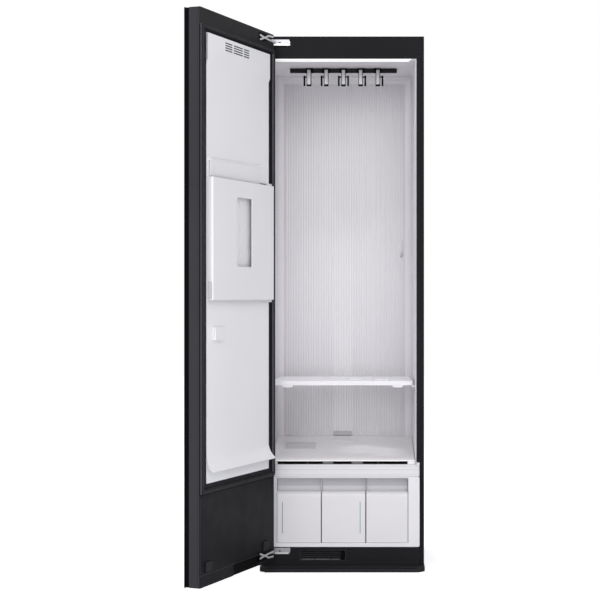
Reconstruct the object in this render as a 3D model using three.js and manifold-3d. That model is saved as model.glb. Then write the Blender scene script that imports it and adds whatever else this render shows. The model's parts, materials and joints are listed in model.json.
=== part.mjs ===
// Clothes care steam cabinet: a tall steel cabinet with a glass door held open, a moulded care
// chamber with a moving hanger bar, a bay of water tanks, and a heat-pump machine room behind it.
// Millimetres, X to the right, Y into the cabinet, Z up. The origin lies on the floor, in the
// middle of the cabinet's width, on the plane of its front face.
import * as THREE from 'three';
import Module from 'manifold-3d';
import { mergeVertices } from 'three/addons/utils/BufferGeometryUtils.js';

const wasm = await Module();
wasm.setup();

// Driving sizes of the whole cabinet
const cabinetWidth = 600;
const cabinetHeight = 1960;
const bodyDepth = 530;
const plinthHeight = 17.5;
const kickHeight = 66.2;
const bayHeight = 259;
const sillHeight = 44.1;
const headerHeight = 81.4;
const stileWidth = 27.5;
const chamberBackGap = 80;
const backFillet = 28;
const linerWall = 5;
const sheet = 1.5;
const seat = 0.3;
const overrun = 8;
const mergeTolerance = 1e-4;

// Driving sizes of the door
const doorGap = 10;
const doorThickness = 56;
const doorSideGap = 2;
const doorAbovePlinth = 28.5;
const doorTopGap = 5;
const doorOpenAngle = 110.5;
const pivotInset = 7;
const pivotDepth = 43;

// Places that follow from the driving sizes
const halfWidth = cabinetWidth / 2;
const openingHalf = halfWidth - stileWidth;
const bayLow = plinthHeight + kickHeight;
const sillLow = bayLow + bayHeight;
const sillTop = sillLow + sillHeight;
const headerLow = cabinetHeight - headerHeight;
const chamberHalf = openingHalf - seat - linerWall;
const ceiling = headerLow - seat - linerWall;
const doorHalf = halfWidth - doorSideGap;
const doorHigh = cabinetHeight - doorTopGap;
const doorFace = -doorGap;
const doorLow = plinthHeight + doorAbovePlinth;
const chamberDepth = bodyDepth - chamberBackGap;
const pivotX = -doorHalf + pivotInset;
const pivotY = doorFace - pivotDepth;

// Finishes, as colour, roughness and metalness
const finishes = {
  blackSteel: [0x252528, 0.5, 0.35],
  blackPlastic: [0x1e1e21, 0.6, 0.05],
  greyFrame: [0x444446, 0.45, 0.5],
  glass: [0x0a0a0c, 0.08, 0.1],
  rubber: [0x161618, 0.85, 0],
  whitePlastic: [0xe6e6ea, 0.4, 0],
  liner: [0xd2d2d7, 0.45, 0],
  silver: [0xbcbcc0, 0.3, 0.9],
  galvanised: [0x9a9ca0, 0.5, 0.8],
  light: [0xffffff, 0.3, 0],
  vent: [0xb2b2b6, 0.5, 0.1],
  copper: [0xb5764c, 0.35, 0.9],
  greenBoard: [0x2c4a3c, 0.6, 0.1],
};

// Geometry helpers

const middle = ([low, high]) => (low + high) / 2;
const length = ([low, high]) => high - low;
const about = (centre, half) => [centre - half, centre + half];
const grow = ([low, high], by) => [low - by, high + by];
const radians = (degrees) => (degrees * Math.PI) / 180;
const quarterTurn = Math.PI / 2;

// A closed geometry as a solid that can be joined and cut.
function toSolid(geometry) {
  const bare = new THREE.BufferGeometry();
  bare.setAttribute('position', geometry.getAttribute('position'));
  bare.setIndex(geometry.index);
  const merged = mergeVertices(bare, mergeTolerance);
  const triangles = [];
  for (let i = 0; i < merged.index.count; i += 3) {
    const [a, b, c] = [merged.index.getX(i), merged.index.getX(i + 1), merged.index.getX(i + 2)];
    if (a !== b && b !== c && c !== a) triangles.push(a, b, c);
  }
  return new wasm.Manifold(new wasm.Mesh({
    numProp: 3,
    vertProperties: Float32Array.from(merged.getAttribute('position').array),
    triVerts: Uint32Array.from(triangles),
  }));
}

function toGeometry(solid) {
  const { vertProperties, triVerts } = solid.getMesh();
  const geometry = new THREE.BufferGeometry();
  geometry.setAttribute('position', new THREE.BufferAttribute(Float32Array.from(vertProperties), 3));
  geometry.setIndex(Array.from(triVerts));
  return geometry;
}

const join = (first, ...others) => others.reduce((sum, solid) => sum.add(solid), first);
const cut = (first, ...others) => others.reduce((rest, solid) => rest.subtract(solid), first);

// A box between three spans.
function block(x, y, z) {
  const geometry = new THREE.BoxGeometry(length(x), length(y), length(z));
  geometry.translate(middle(x), middle(y), middle(z));
  return toSolid(geometry);
}

// An outline swept along an axis over a span. It is drawn in y and z along x, in x and z
// along y, and in x and y along z.
function prism(axis, shape, [from, to], curveSegments = 2) {
  const sweep = { depth: to - from, bevelEnabled: false, curveSegments };
  const geometry = new THREE.ExtrudeGeometry(shape, sweep);
  const turn = new THREE.Matrix4();
  if (axis === 'x') turn.set(0, 0, 1, from, 1, 0, 0, 0, 0, 1, 0, 0, 0, 0, 0, 1);
  if (axis === 'y') turn.set(1, 0, 0, 0, 0, 0, -1, to, 0, 1, 0, 0, 0, 0, 0, 1);
  if (axis === 'z') turn.makeTranslation(0, 0, from);
  return toSolid(geometry.applyMatrix4(turn));
}

const polygon = (points) => new THREE.Shape(points.map(([u, v]) => new THREE.Vector2(u, v)));

function roundedRect([u0, u1], [v0, v1], radius) {
  const shape = new THREE.Shape();
  shape.absarc(u1 - radius, v0 + radius, radius, -quarterTurn, 0);
  shape.absarc(u1 - radius, v1 - radius, radius, 0, quarterTurn);
  shape.absarc(u0 + radius, v1 - radius, radius, quarterTurn, quarterTurn * 2);
  shape.absarc(u0 + radius, v0 + radius, radius, quarterTurn * 2, quarterTurn * 3);
  return shape;
}

// A polygon whose corners are rounded by curves that start one radius from each corner.
function softPolygon(points, radius) {
  const shape = new THREE.Shape();
  const corners = points.map(([u, v]) => new THREE.Vector2(u, v));
  corners.forEach((corner, i) => {
    const before = corners[(i + corners.length - 1) % corners.length];
    const after = corners[(i + 1) % corners.length];
    const start = corner.clone().add(before.clone().sub(corner).setLength(radius));
    const end = corner.clone().add(after.clone().sub(corner).setLength(radius));
    if (i === 0) shape.moveTo(start.x, start.y);
    else shape.lineTo(start.x, start.y);
    shape.quadraticCurveTo(corner.x, corner.y, end.x, end.y);
  });
  return shape;
}

function arc(u, v, radius, fromDegrees, toDegrees, steps) {
  const points = [];
  for (let i = 0; i <= steps; i += 1) {
    const angle = radians(fromDegrees + ((toDegrees - fromDegrees) * i) / steps);
    points.push([u + radius * Math.cos(angle), v + radius * Math.sin(angle)]);
  }
  return points;
}

const disc = (u, v, radius) => new THREE.Shape().absarc(u, v, radius, 0, Math.PI * 2);

function rod(axis, [u, v], radius, span, sides = 16) {
  return prism(axis, disc(u, v, radius), span, sides / 2);
}

// A profile of radius and height turned about a vertical axis at a place.
function revolve(profile, [x, y, z], sides = 24) {
  const geometry = new THREE.LatheGeometry(profile.map(([r, h]) => new THREE.Vector2(r, h)), sides);
  geometry.rotateX(Math.PI / 2);
  geometry.translate(x, y, z);
  return toSolid(geometry);
}

// A round pipe along a smooth line of points.
function pipe(points, radius, steps, sides = 8) {
  const line = new THREE.CatmullRomCurve3(points.map((p) => new THREE.Vector3(...p)));
  const sweep = { steps, extrudePath: line, curveSegments: sides / 2, bevelEnabled: false };
  return toSolid(new THREE.ExtrudeGeometry(disc(0, 0, radius), sweep));
}

// A box along Y whose far face meets its four walls in a fillet.
function filletedBox([x0, x1], [front, back], [z0, z1], fillet) {
  const face = polygon([
    [x0 + fillet, z0 + fillet],
    [x1 - fillet, z0 + fillet],
    [x1 - fillet, z1 - fillet],
    [x0 + fillet, z1 - fillet],
  ]);
  const lead = fillet * 2;
  const geometry = new THREE.ExtrudeGeometry(face, {
    depth: back - fillet - (front - lead),
    bevelThickness: fillet,
    bevelSize: fillet,
    bevelSegments: 6,
  });
  const turn = new THREE.Matrix4();
  turn.set(1, 0, 0, 0, 0, 0, -1, back - fillet, 0, 1, 0, 0, 0, 0, 0, 1);
  const whole = toSolid(geometry.applyMatrix4(turn));
  const ahead = block([x0 - overrun, x1 + overrun], [front - lead * 2, front], [z0 - overrun, z1 + overrun]);
  return cut(whole, ahead);
}

function place(parent, name, solid, finish, position = [0, 0, 0]) {
  const [color, roughness, metalness] = finishes[finish];
  const material = new THREE.MeshStandardMaterial({ color, roughness, metalness });
  const mesh = new THREE.Mesh(toGeometry(solid), material);
  mesh.name = name;
  mesh.position.set(...position);
  parent.add(mesh);
  return mesh;
}

const group = new THREE.Group();

// Outer shell: side panels with their folded front stiles, header, top, back and base

const shell = {
  cornerRadius: 3,
  stileDepth: 16,
  frameOverlap: 11,
  edgeStrip: 10,
  grooveWidth: 1.2,
  grooveDepth: 0.8,
  rearFlange: 18,
  headerReturn: 12,
  skirtHeight: 16,
  skirtSetback: 22,
  panHeight: 27,
  panFront: 20,
  sillUpstand: 7,
};
const frameHalf = openingHalf + shell.frameOverlap;
const shellTop = cabinetHeight - sheet - seat;
const shellLow = plinthHeight + seat;
const shellInner = halfWidth - sheet - seat;
const backOuter = bodyDepth - sheet - seat;
const backInner = backOuter - sheet;
const panFloor = shellLow + sheet;

function sidePanel(side) {
  const outline = [
    [openingHalf, 0],
    ...arc(halfWidth - shell.cornerRadius, shell.cornerRadius, shell.cornerRadius, -90, 0, 4),
    [halfWidth, bodyDepth],
    [halfWidth - shell.rearFlange, bodyDepth],
    [halfWidth - shell.rearFlange, bodyDepth - sheet],
    [halfWidth - sheet, bodyDepth - sheet],
    [halfWidth - sheet, sheet],
    [openingHalf + sheet, sheet],
    [openingHalf + sheet, shell.stileDepth],
    [openingHalf, shell.stileDepth],
  ];
  const across = ([low, high]) => (side > 0 ? [low, high] : [-high, -low]);
  const panel = prism('z', polygon(outline.map(([x, y]) => [side * x, y])), [shellLow, shellTop]);
  const through = [-overrun, shell.stileDepth + overrun];
  const besideFrame = block(
    across([openingHalf - overrun, frameHalf + seat]),
    through,
    [shellLow - overrun, sillTop + shell.sillUpstand + seat],
  );
  const strip = halfWidth - shell.edgeStrip;
  const besideHeader = block(
    across([openingHalf - overrun, strip]),
    through,
    [headerLow - seat, shellTop + overrun],
  );
  const groove = block(
    across([strip - shell.grooveWidth, strip]),
    [-overrun, shell.grooveDepth],
    [shellLow - overrun, shellTop + overrun],
  );
  return cut(panel, besideFrame, besideHeader, groove);
}

function frontHeader() {
  const channel = polygon([
    [0, headerLow],
    [shell.headerReturn, headerLow],
    [shell.headerReturn, headerLow + sheet],
    [sheet, headerLow + sheet],
    [sheet, shellTop - sheet],
    [shell.headerReturn, shellTop - sheet],
    [shell.headerReturn, shellTop],
    [0, shellTop],
  ]);
  return prism('x', channel, about(0, halfWidth - shell.edgeStrip - seat));
}

function topCover() {
  const lid = prism(
    'z',
    roundedRect(about(0, halfWidth), [0, bodyDepth], shell.cornerRadius),
    [cabinetHeight - sheet, cabinetHeight],
  );
  const skirtDepths = [shell.skirtSetback, backInner - seat];
  const skirtHeights = [cabinetHeight - sheet - shell.skirtHeight, cabinetHeight - sheet];
  const hollowDepths = [shell.skirtSetback + sheet, backInner - seat - sheet];
  const skirt = cut(
    block(about(0, shellInner), skirtDepths, skirtHeights),
    block(about(0, shellInner - sheet), hollowDepths, [skirtHeights[0] - overrun, skirtHeights[1] + overrun]),
  );
  return join(lid, skirt);
}

const back = {
  ribWidth: 30,
  ribPitch: 150,
  ribEdge: 3,
  ribInset: 90,
  ribRise: 800,
  ventColumns: 3,
  ventRows: 8,
  slotWidth: 46,
  slotHeight: 5,
  columnPitch: 60,
  rowPitch: 14,
  ventInset: 178,
  ventRise: 112,
  glandInset: 73,
  glandRise: 132,
  glandRadius: 9,
  glandBore: 4,
  glandFlange: 4,
  glandReach: 14,
};

const gland = [shellInner - back.glandInset, shellLow + back.glandRise];

function backPanel() {
  let panel = block(about(0, shellInner), [backInner, backOuter], [shellLow, shellTop]);
  const ribHeights = [shellLow + back.ribRise, headerLow - back.ribInset];
  for (let i = -1; i <= 1; i += 1) {
    const centre = i * back.ribPitch;
    const half = back.ribWidth / 2;
    const rib = polygon([
      [centre - half, backInner + sheet / 2],
      [centre + half, backInner + sheet / 2],
      [centre + half - back.ribEdge, bodyDepth],
      [centre - half + back.ribEdge, bodyDepth],
    ]);
    panel = join(panel, prism('z', rib, ribHeights));
  }
  const through = [backInner - overrun, backOuter + overrun];
  for (let column = 0; column < back.ventColumns; column += 1) {
    const x = back.ventInset - shellInner + column * back.columnPitch;
    for (let row = 0; row < back.ventRows; row += 1) {
      const z = shellLow + back.ventRise + row * back.rowPitch;
      panel = cut(panel, block([x, x + back.slotWidth], through, [z, z + back.slotHeight]));
    }
  }
  return cut(panel, rod('y', gland, back.glandRadius + seat, through));
}

function cordGland() {
  const barrel = rod('y', gland, back.glandRadius, [backInner - back.glandReach, backOuter + seat]);
  const flange = rod('y', gland, back.glandRadius + back.glandFlange, [backOuter + seat, bodyDepth]);
  const reach = [backInner - back.glandReach - overrun, bodyDepth + overrun];
  return cut(join(barrel, flange), rod('y', gland, back.glandBore, reach));
}

function basePan() {
  const depths = [shell.panFront, backInner - seat];
  const outer = block(about(0, shellInner), depths, [shellLow, shellLow + shell.panHeight]);
  const hollow = block(
    about(0, shellInner - sheet),
    [depths[0] + sheet, depths[1] - sheet],
    [panFloor, shellLow + shell.panHeight + overrun],
  );
  return cut(outer, hollow);
}

place(group, 'side_panel_left', sidePanel(-1), 'blackSteel');
place(group, 'side_panel_right', sidePanel(1), 'blackSteel');
place(group, 'front_header', frontHeader(), 'blackSteel');
place(group, 'top_cover', topCover(), 'blackSteel');
place(group, 'back_panel', backPanel(), 'galvanised');
place(group, 'cord_gland', cordGland(), 'blackPlastic');
place(group, 'base_pan', basePan(), 'galvanised');

// Plinth cover, levelling feet, kick panel and its louvred intake grille

const plinth = {
  overhang: 1.5,
  forward: 60,
  backward: 42,
  chamfer: 24,
  wall: 3,
  padHalf: 14,
  cellsPerSide: 4,
};
const foot = {
  padRadius: 18,
  padHeight: 6,
  stemRadius: 6,
  besideSide: 45,
  frontY: 78,
  rearInset: 50,
  railHalf: 5,
  railLow: 9,
};
const kick = {
  wall: 3,
  returnDepth: 16,
  ridgeDepth: 1.2,
  ridgeHeight: 1.6,
};
const intake = {
  centreX: -72.5,
  half: 85.5,
  rise: 14.5,
  height: 42,
  proud: 1.5,
  depth: 11,
  rim: 3,
  blades: 5,
  bladeThickness: 1.6,
  bladeRise: 4,
  ribs: 2,
  ribHalf: 1,
};

const footX = halfWidth - foot.besideSide;
const intakeX = about(intake.centreX, intake.half);
const intakeZ = [plinthHeight + intake.rise, plinthHeight + intake.rise + intake.height];

function plinthCover() {
  const half = halfWidth + plinth.overhang;
  const outline = polygon([
    [-half, plinth.backward],
    [-half, -plinth.forward + plinth.chamfer],
    [-half + plinth.chamfer, -plinth.forward],
    [half - plinth.chamfer, -plinth.forward],
    [half, -plinth.forward + plinth.chamfer],
    [half, plinth.backward],
  ]);
  let cover = prism('z', outline, [0, plinthHeight]);
  const reach = half - plinth.chamfer - plinth.wall - plinth.padHalf;
  const pitch = reach / plinth.cellsPerSide;
  const depths = [-plinth.forward + plinth.wall, plinth.backward - plinth.wall];
  for (let cell = 0; cell < plinth.cellsPerSide; cell += 1) {
    const from = plinth.padHalf + cell * pitch;
    const to = from + pitch - plinth.wall;
    const heights = [-overrun, plinthHeight - plinth.wall];
    cover = cut(cover, block([from, to], depths, heights), block([-to, -from], depths, heights));
  }
  return cover;
}

function levellingFoot(x, y) {
  return revolve([
    [0, 0],
    [foot.padRadius, 0],
    [foot.padRadius, foot.padHeight / 2],
    [foot.stemRadius, foot.padHeight],
    [foot.stemRadius, plinthHeight],
    [0, plinthHeight],
  ], [x, y, 0], 20);
}

// Two levelling feet on a rail that lies under the base pan.
function footRail(y) {
  const rail = block(about(0, footX), about(y, foot.railHalf), [foot.railLow, plinthHeight]);
  return join(rail, levellingFoot(-footX, y), levellingFoot(footX, y));
}

// The kick panel is a channel whose face has a ridge line beside each louvre.
function kickPanel() {
  const low = shellLow;
  const high = bayLow - seat;
  const pitch = intake.height / intake.blades;
  const outline = [[0, low]];
  for (let i = 0; i <= intake.blades; i += 1) {
    const z = intakeZ[0] + i * pitch;
    const half = kick.ridgeHeight / 2;
    outline.push([0, z - half], [kick.ridgeDepth, z - half], [kick.ridgeDepth, z + half], [0, z + half]);
  }
  outline.push(
    [0, high],
    [kick.returnDepth, high],
    [kick.returnDepth, high - kick.wall],
    [kick.wall, high - kick.wall],
    [kick.wall, low + kick.wall],
    [kick.returnDepth, low + kick.wall],
    [kick.returnDepth, low],
  );
  const panel = prism('x', polygon(outline), about(0, frameHalf - seat));
  const hole = block(intakeX, [-overrun, kick.wall + overrun], intakeZ);
  return cut(panel, hole);
}

function intakeGrille() {
  const x = grow(intakeX, -seat);
  const z = grow(intakeZ, -seat);
  const rimHole = block(
    [x[0] + intake.rim, x[1] - intake.rim],
    [-intake.proud - overrun, intake.depth + overrun],
    [z[0] + intake.rim, z[1] - intake.rim],
  );
  let grille = cut(block(x, [-intake.proud, intake.depth], z), rimHole);
  const pitch = (length(z) - intake.rim) / intake.blades;
  const bladeSpan = [x[0] + intake.rim / 2, x[1] - intake.rim / 2];
  for (let i = 1; i < intake.blades; i += 1) {
    const height = z[0] + intake.rim / 2 + i * pitch;
    const blade = polygon([
      [0, height - intake.bladeRise / 2],
      [intake.depth, height + intake.bladeRise / 2],
      [intake.depth, height + intake.bladeRise / 2 + intake.bladeThickness],
      [0, height - intake.bladeRise / 2 + intake.bladeThickness],
    ]);
    grille = join(grille, prism('x', blade, bladeSpan));
  }
  for (let i = 1; i <= intake.ribs; i += 1) {
    const centre = x[0] + (length(x) * i) / (intake.ribs + 1);
    const depths = [intake.depth / 2, intake.depth];
    grille = join(grille, block(about(centre, intake.ribHalf), depths, grow(z, -intake.rim / 2)));
  }
  return grille;
}

place(group, 'plinth_cover', plinthCover(), 'blackPlastic');
place(group, 'foot_rail_front', footRail(foot.frontY), 'blackPlastic');
place(group, 'foot_rail_rear', footRail(bodyDepth - foot.rearInset), 'blackPlastic');
place(group, 'kick_panel', kickPanel(), 'blackPlastic');
place(group, 'intake_grille', intakeGrille(), 'blackPlastic');

// Care chamber: liner, ribbed back wall, light bar, floor tray, lint filter and sill

const hangerBar = {
  fromBack: 245,
  length: 407,
  height: 16,
  depth: 17.5,
  edge: 4,
  belowCeiling: 1.7,
  stemX: 120,
  stemRadius: 6,
  headRadius: 11,
  headHeight: 3,
  travel: 15,
  slotRoom: 1.5,
};
const shelf = {
  rise: 304.2,
  plate: 3,
  skirt: 16,
  wall: 3,
  front: 44,
  backGap: 67,
  frontSide: 6.2,
  backSide: 20.2,
  corner: 10,
  slotCorner: 8,
  bossWidth: 42,
  bossInset: 57,
  bossDrop: 8,
  bossDepth: 30,
};
const tieSlots = [
  { fromMiddle: 16, width: 70, fromFront: 66, depth: 125 },
  { fromMiddle: 110, width: 66, fromFront: 31, depth: 120 },
];
const ledge = {
  height: 7,
  grip: 5,
  inset: 4,
};
const coveEdge = 0.8;
const steamVent = {
  centreX: -7,
  half: 37,
  rise: 2,
  height: 15.5,
  proud: 1.5,
  rim: 2,
  slats: 12,
  slatHalf: 1,
  behind: 6,
};
const sill = {
  depth: 32,
  steps: [5.5, 18.4, 12.9],
  stepBack: 1.2,
  lip: 5,
  wall: 5,
  endDepth: 14,
};
const filter = {
  front: 9,
  side: 29.2,
  depth: 225,
  height: 10.4,
  rim: 8,
  rail: 1.2,
  ribPitch: 17,
  ribHalf: 0.8,
  netBars: 6,
  netHalf: 1.5,
};
const tray = {
  front: 3.5,
  lipHeight: 4,
  lipDepth: 14,
  rise: 49,
  plate: 3.5,
  legGap: 2,
  legBackGap: 35,
  panelInset: 30,
  panelSide: 3,
  panelDepth: 1.4,
  ventInset: 39,
  ventWidth: 119,
  ventBack: 236,
  ventRows: 5,
  ventPitch: 24.8,
  ventSlot: 12,
  outletLeft: -41,
  outletWidth: 26,
  outletPitch: 38,
  outletCount: 3,
  outletSlot: 5,
  outletBack: 100,
};
const lightBar = {
  side: 21.2,
  front: 8,
  depth: 15,
  height: 3.4,
  taper: 4,
};
const ribs = {
  plate: 2.2,
  depth: 1.2,
  pitch: 10,
  land: 6,
  clearance: 0.3,
  aboveTray: 1.7,
};
const wallHook = {
  fromEdge: 10,
  width: 10,
  aboveShelf: 470,
  height: 67,
  reach: 11,
  wall: 4,
  lip: 10,
};

const barTop = ceiling - hangerBar.belowCeiling;
const barLow = barTop - hangerBar.height;
const hangerBarY = chamberDepth - hangerBar.fromBack;
const shelfTop = sillTop + shelf.rise;
const shelfUnder = shelfTop - shelf.skirt;
const shelfBack = chamberDepth - shelf.backGap;
const shelfFrontHalf = chamberHalf - shelf.frontSide;
const shelfBackHalf = chamberHalf - shelf.backSide;
const filterHalf = chamberHalf - filter.side;
const filterLow = sillTop + seat;
const trayLow = filterLow + filter.height + seat;
const trayHalf = chamberHalf - coveEdge - seat * 2;
const trayRear = chamberDepth - coveEdge - seat * 2;
const trayTop = trayLow + tray.lipHeight + tray.rise;
const ribHalf = chamberHalf - backFillet - ribs.clearance;
const ribLow = trayTop + ribs.aboveTray;
const steamVentX = about(steamVent.centreX, steamVent.half);
const steamVentZ = [ribLow + steamVent.rise, ribLow + steamVent.rise + steamVent.height];
const linerOuter = chamberHalf + linerWall;
const linerRoof = ceiling + linerWall;
const linerFront = 2;

function shelfHalfAt(y) {
  const share = (y - shelf.front) / (shelfBack - shelf.front);
  return shelfFrontHalf + (shelfBackHalf - shelfFrontHalf) * share;
}

// A ledge on a side wall, on which one edge of the shelf slides.
function shelfLedge(side) {
  const y = [shelf.front + ledge.inset, shelfBack - ledge.inset];
  const outline = polygon([
    [side * (chamberHalf - seat), y[0]],
    [side * (shelfHalfAt(y[0]) - ledge.grip), y[0]],
    [side * (shelfHalfAt(y[1]) - ledge.grip), y[1]],
    [side * (chamberHalf - seat), y[1]],
  ]);
  const top = shelfUnder - seat;
  return prism('z', outline, [top - ledge.height, top]);
}

// One moulding open at the front, with a slot in its ceiling for each of the bar's stems.
function chamberLiner() {
  const outer = block(
    about(0, linerOuter),
    [linerFront, chamberDepth + linerWall],
    [sillTop - linerWall, linerRoof],
  );
  const cavity = block(about(0, chamberHalf), [linerFront - overrun, chamberDepth], [sillTop, ceiling]);
  const behindSill = block(
    about(0, linerOuter + overrun),
    [linerFront - overrun, sill.depth + seat],
    [sillTop - linerWall - overrun, sillTop + seat],
  );
  let liner = cut(outer, cavity, behindSill);
  for (const side of [-1, 1]) {
    const slotHalf = hangerBar.stemRadius + hangerBar.travel + hangerBar.slotRoom;
    const slot = roundedRect(
      about(side * hangerBar.stemX, slotHalf),
      about(hangerBarY, hangerBar.stemRadius + hangerBar.slotRoom),
      hangerBar.stemRadius,
    );
    liner = cut(liner, prism('z', slot, [ceiling - overrun, linerRoof + overrun]));
  }
  const steamHole = block(
    grow(steamVentX, -steamVent.behind),
    [chamberDepth - overrun, chamberDepth + linerWall + overrun],
    grow(steamVentZ, -steamVent.rim),
  );
  return cut(liner, steamHole);
}

// A cove moulding rounds the liner's two upright rear corners and the one under its ceiling.
function chamberCove() {
  const half = chamberHalf - seat;
  const rear = chamberDepth - seat;
  const top = ceiling - seat;
  const low = sillTop + seat;
  const start = rear - coveEdge - backFillet;
  const solid = block(about(0, half), [start, rear], [low, top]);
  const room = filletedBox(
    about(0, half - coveEdge),
    [start - overrun, rear - coveEdge],
    [low - backFillet * 2, top - coveEdge],
    backFillet,
  );
  const wall = block(
    about(0, chamberHalf - backFillet),
    [start - overrun, rear + overrun],
    [low - overrun, ceiling - backFillet],
  );
  return cut(solid, room, wall);
}

// The back wall's panel has fine upright ribs from edge to edge.
function ribPanel() {
  const rear = chamberDepth - seat;
  const face = rear - ribs.plate;
  const half = ribHalf;
  const count = Math.floor((2 * half - ribs.land) / ribs.pitch);
  const first = (-count * ribs.pitch) / 2;
  const crest = (ribs.pitch - ribs.land) / 2;
  const outline = [[half, rear], [-half, rear], [-half, face]];
  for (let i = 0; i < count; i += 1) {
    const centre = first + (i + 1 / 2) * ribs.pitch;
    const crestHalf = ribs.land / 4;
    outline.push(
      [centre - crest - crestHalf, face],
      [centre - crestHalf, face - ribs.depth],
      [centre + crestHalf, face - ribs.depth],
      [centre + crest + crestHalf, face],
    );
  }
  outline.push([half, face]);
  const panel = prism('z', polygon(outline), [ribLow, ceiling - backFillet - ribs.clearance]);
  const front = face - ribs.depth;
  const through = [front - overrun, rear + overrun];
  const hole = block(grow(steamVentX, seat), through, grow(steamVentZ, seat));
  const hookLow = shelfTop + wallHook.aboveShelf;
  const hookHigh = hookLow + wallHook.height;
  const bracket = polygon([
    [face + ribs.plate / 2, hookLow],
    [face + ribs.plate / 2, hookHigh],
    [front - wallHook.wall, hookHigh],
    [front - wallHook.wall, hookLow + wallHook.wall * 2],
    [front - wallHook.reach + wallHook.wall, hookLow + wallHook.wall * 2],
    [front - wallHook.reach + wallHook.wall, hookLow + wallHook.wall * 2 + wallHook.lip],
    [front - wallHook.reach, hookLow + wallHook.wall * 2 + wallHook.lip],
    [front - wallHook.reach, hookLow + wallHook.wall],
    [front - wallHook.wall, hookLow],
  ]);
  const hookX = [half - wallHook.fromEdge - wallHook.width, half - wallHook.fromEdge];
  return join(cut(panel, hole), prism('x', bracket, hookX));
}

function steamVentGrille() {
  const rear = chamberDepth - seat;
  const front = rear - ribs.plate - ribs.depth - steamVent.proud;
  const { rim, slats, slatHalf } = steamVent;
  const x = steamVentX;
  const z = steamVentZ;
  const opening = block(grow(x, -rim), [front - overrun, rear + overrun], grow(z, -rim));
  let grille = cut(block(x, [front, rear], z), opening);
  for (let i = 1; i < slats; i += 1) {
    const centre = x[0] + rim + ((length(x) - rim * 2) * i) / slats;
    grille = join(grille, block(about(centre, slatHalf), [front + steamVent.proud, rear], grow(z, -rim / 2)));
  }
  return grille;
}

function lightBarStrip() {
  const top = ceiling - seat;
  const outline = polygon([
    [lightBar.front, top],
    [lightBar.front, top - lightBar.height],
    [lightBar.front + lightBar.depth - lightBar.taper, top - lightBar.height],
    [lightBar.front + lightBar.depth, top],
  ]);
  return prism('x', outline, about(0, chamberHalf - lightBar.side));
}

function stepSill() {
  const [low, middleBand, upper] = sill.steps;
  const base = sillLow + seat;
  const outline = [
    [0, base],
    [0, sillLow + low],
    [sill.stepBack, sillLow + low],
    [sill.stepBack, sillLow + low + middleBand],
    [sill.stepBack * 2, sillLow + low + middleBand],
    [sill.stepBack * 2, sillLow + low + middleBand + upper],
    [sill.stepBack * 3, sillLow + low + middleBand + upper],
    ...arc(sill.stepBack * 3 + sill.lip, sillTop - sill.lip, sill.lip, 180, 90, 4),
    [sill.depth, sillTop],
    [sill.depth, sillTop - sill.wall],
    [sill.stepBack * 3 + sill.wall, sillTop - sill.wall],
    [sill.stepBack * 3 + sill.wall, base],
  ];
  let body = prism('x', polygon(outline), about(0, frameHalf - seat));
  for (const side of [-1, 1]) {
    const x = side > 0 ? [openingHalf + seat, frameHalf - seat] : [-frameHalf + seat, -openingHalf - seat];
    const heights = [sillTop - sill.wall, sillTop + shell.sillUpstand];
    const upstand = roundedRect([0, sill.endDepth], heights, sill.stepBack);
    body = join(body, prism('x', upstand, x));
  }
  return body;
}

// A flat cassette: a rim, a net of bars, and the ribbed inlet that shows under the floor tray.
function lintFilter() {
  const z = [filterLow, filterLow + filter.height];
  const y = [filter.front, filter.front + filter.depth];
  const hollow = block(
    about(0, filterHalf - filter.rim),
    [y[0] + filter.rim, y[1] - filter.rim],
    [z[0] - overrun, z[1] + overrun],
  );
  let cassette = cut(block(about(0, filterHalf), y, z), hollow);
  const bar = [z[0] + filter.rail, z[0] + filter.rail * 3];
  const barY = grow(y, -filter.rim / 2);
  const barHalf = filterHalf - filter.rim / 2;
  for (let i = 1; i < filter.netBars; i += 1) {
    const x = -filterHalf + (filterHalf * 2 * i) / filter.netBars;
    cassette = join(cassette, block(about(x, filter.netHalf), barY, bar));
  }
  for (let i = 1; i < filter.netBars / 2; i += 1) {
    const depth = y[0] + (filter.depth * i * 2) / filter.netBars;
    cassette = join(cassette, block(about(0, barHalf), about(depth, filter.netHalf), bar));
  }
  const pocket = filter.rim - filter.rail * 2;
  const count = Math.floor((filterHalf * 2 - filter.rim) / filter.ribPitch);
  const first = (-count * filter.ribPitch) / 2;
  for (let i = 0; i < count; i += 1) {
    const from = first + i * filter.ribPitch;
    const x = [from + filter.ribHalf, from + filter.ribPitch - filter.ribHalf];
    const mouth = block(x, [y[0] - overrun, y[0] + pocket], [z[0] + filter.rail, z[1] - filter.rail]);
    cassette = cut(cassette, mouth);
  }
  return cassette;
}

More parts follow.
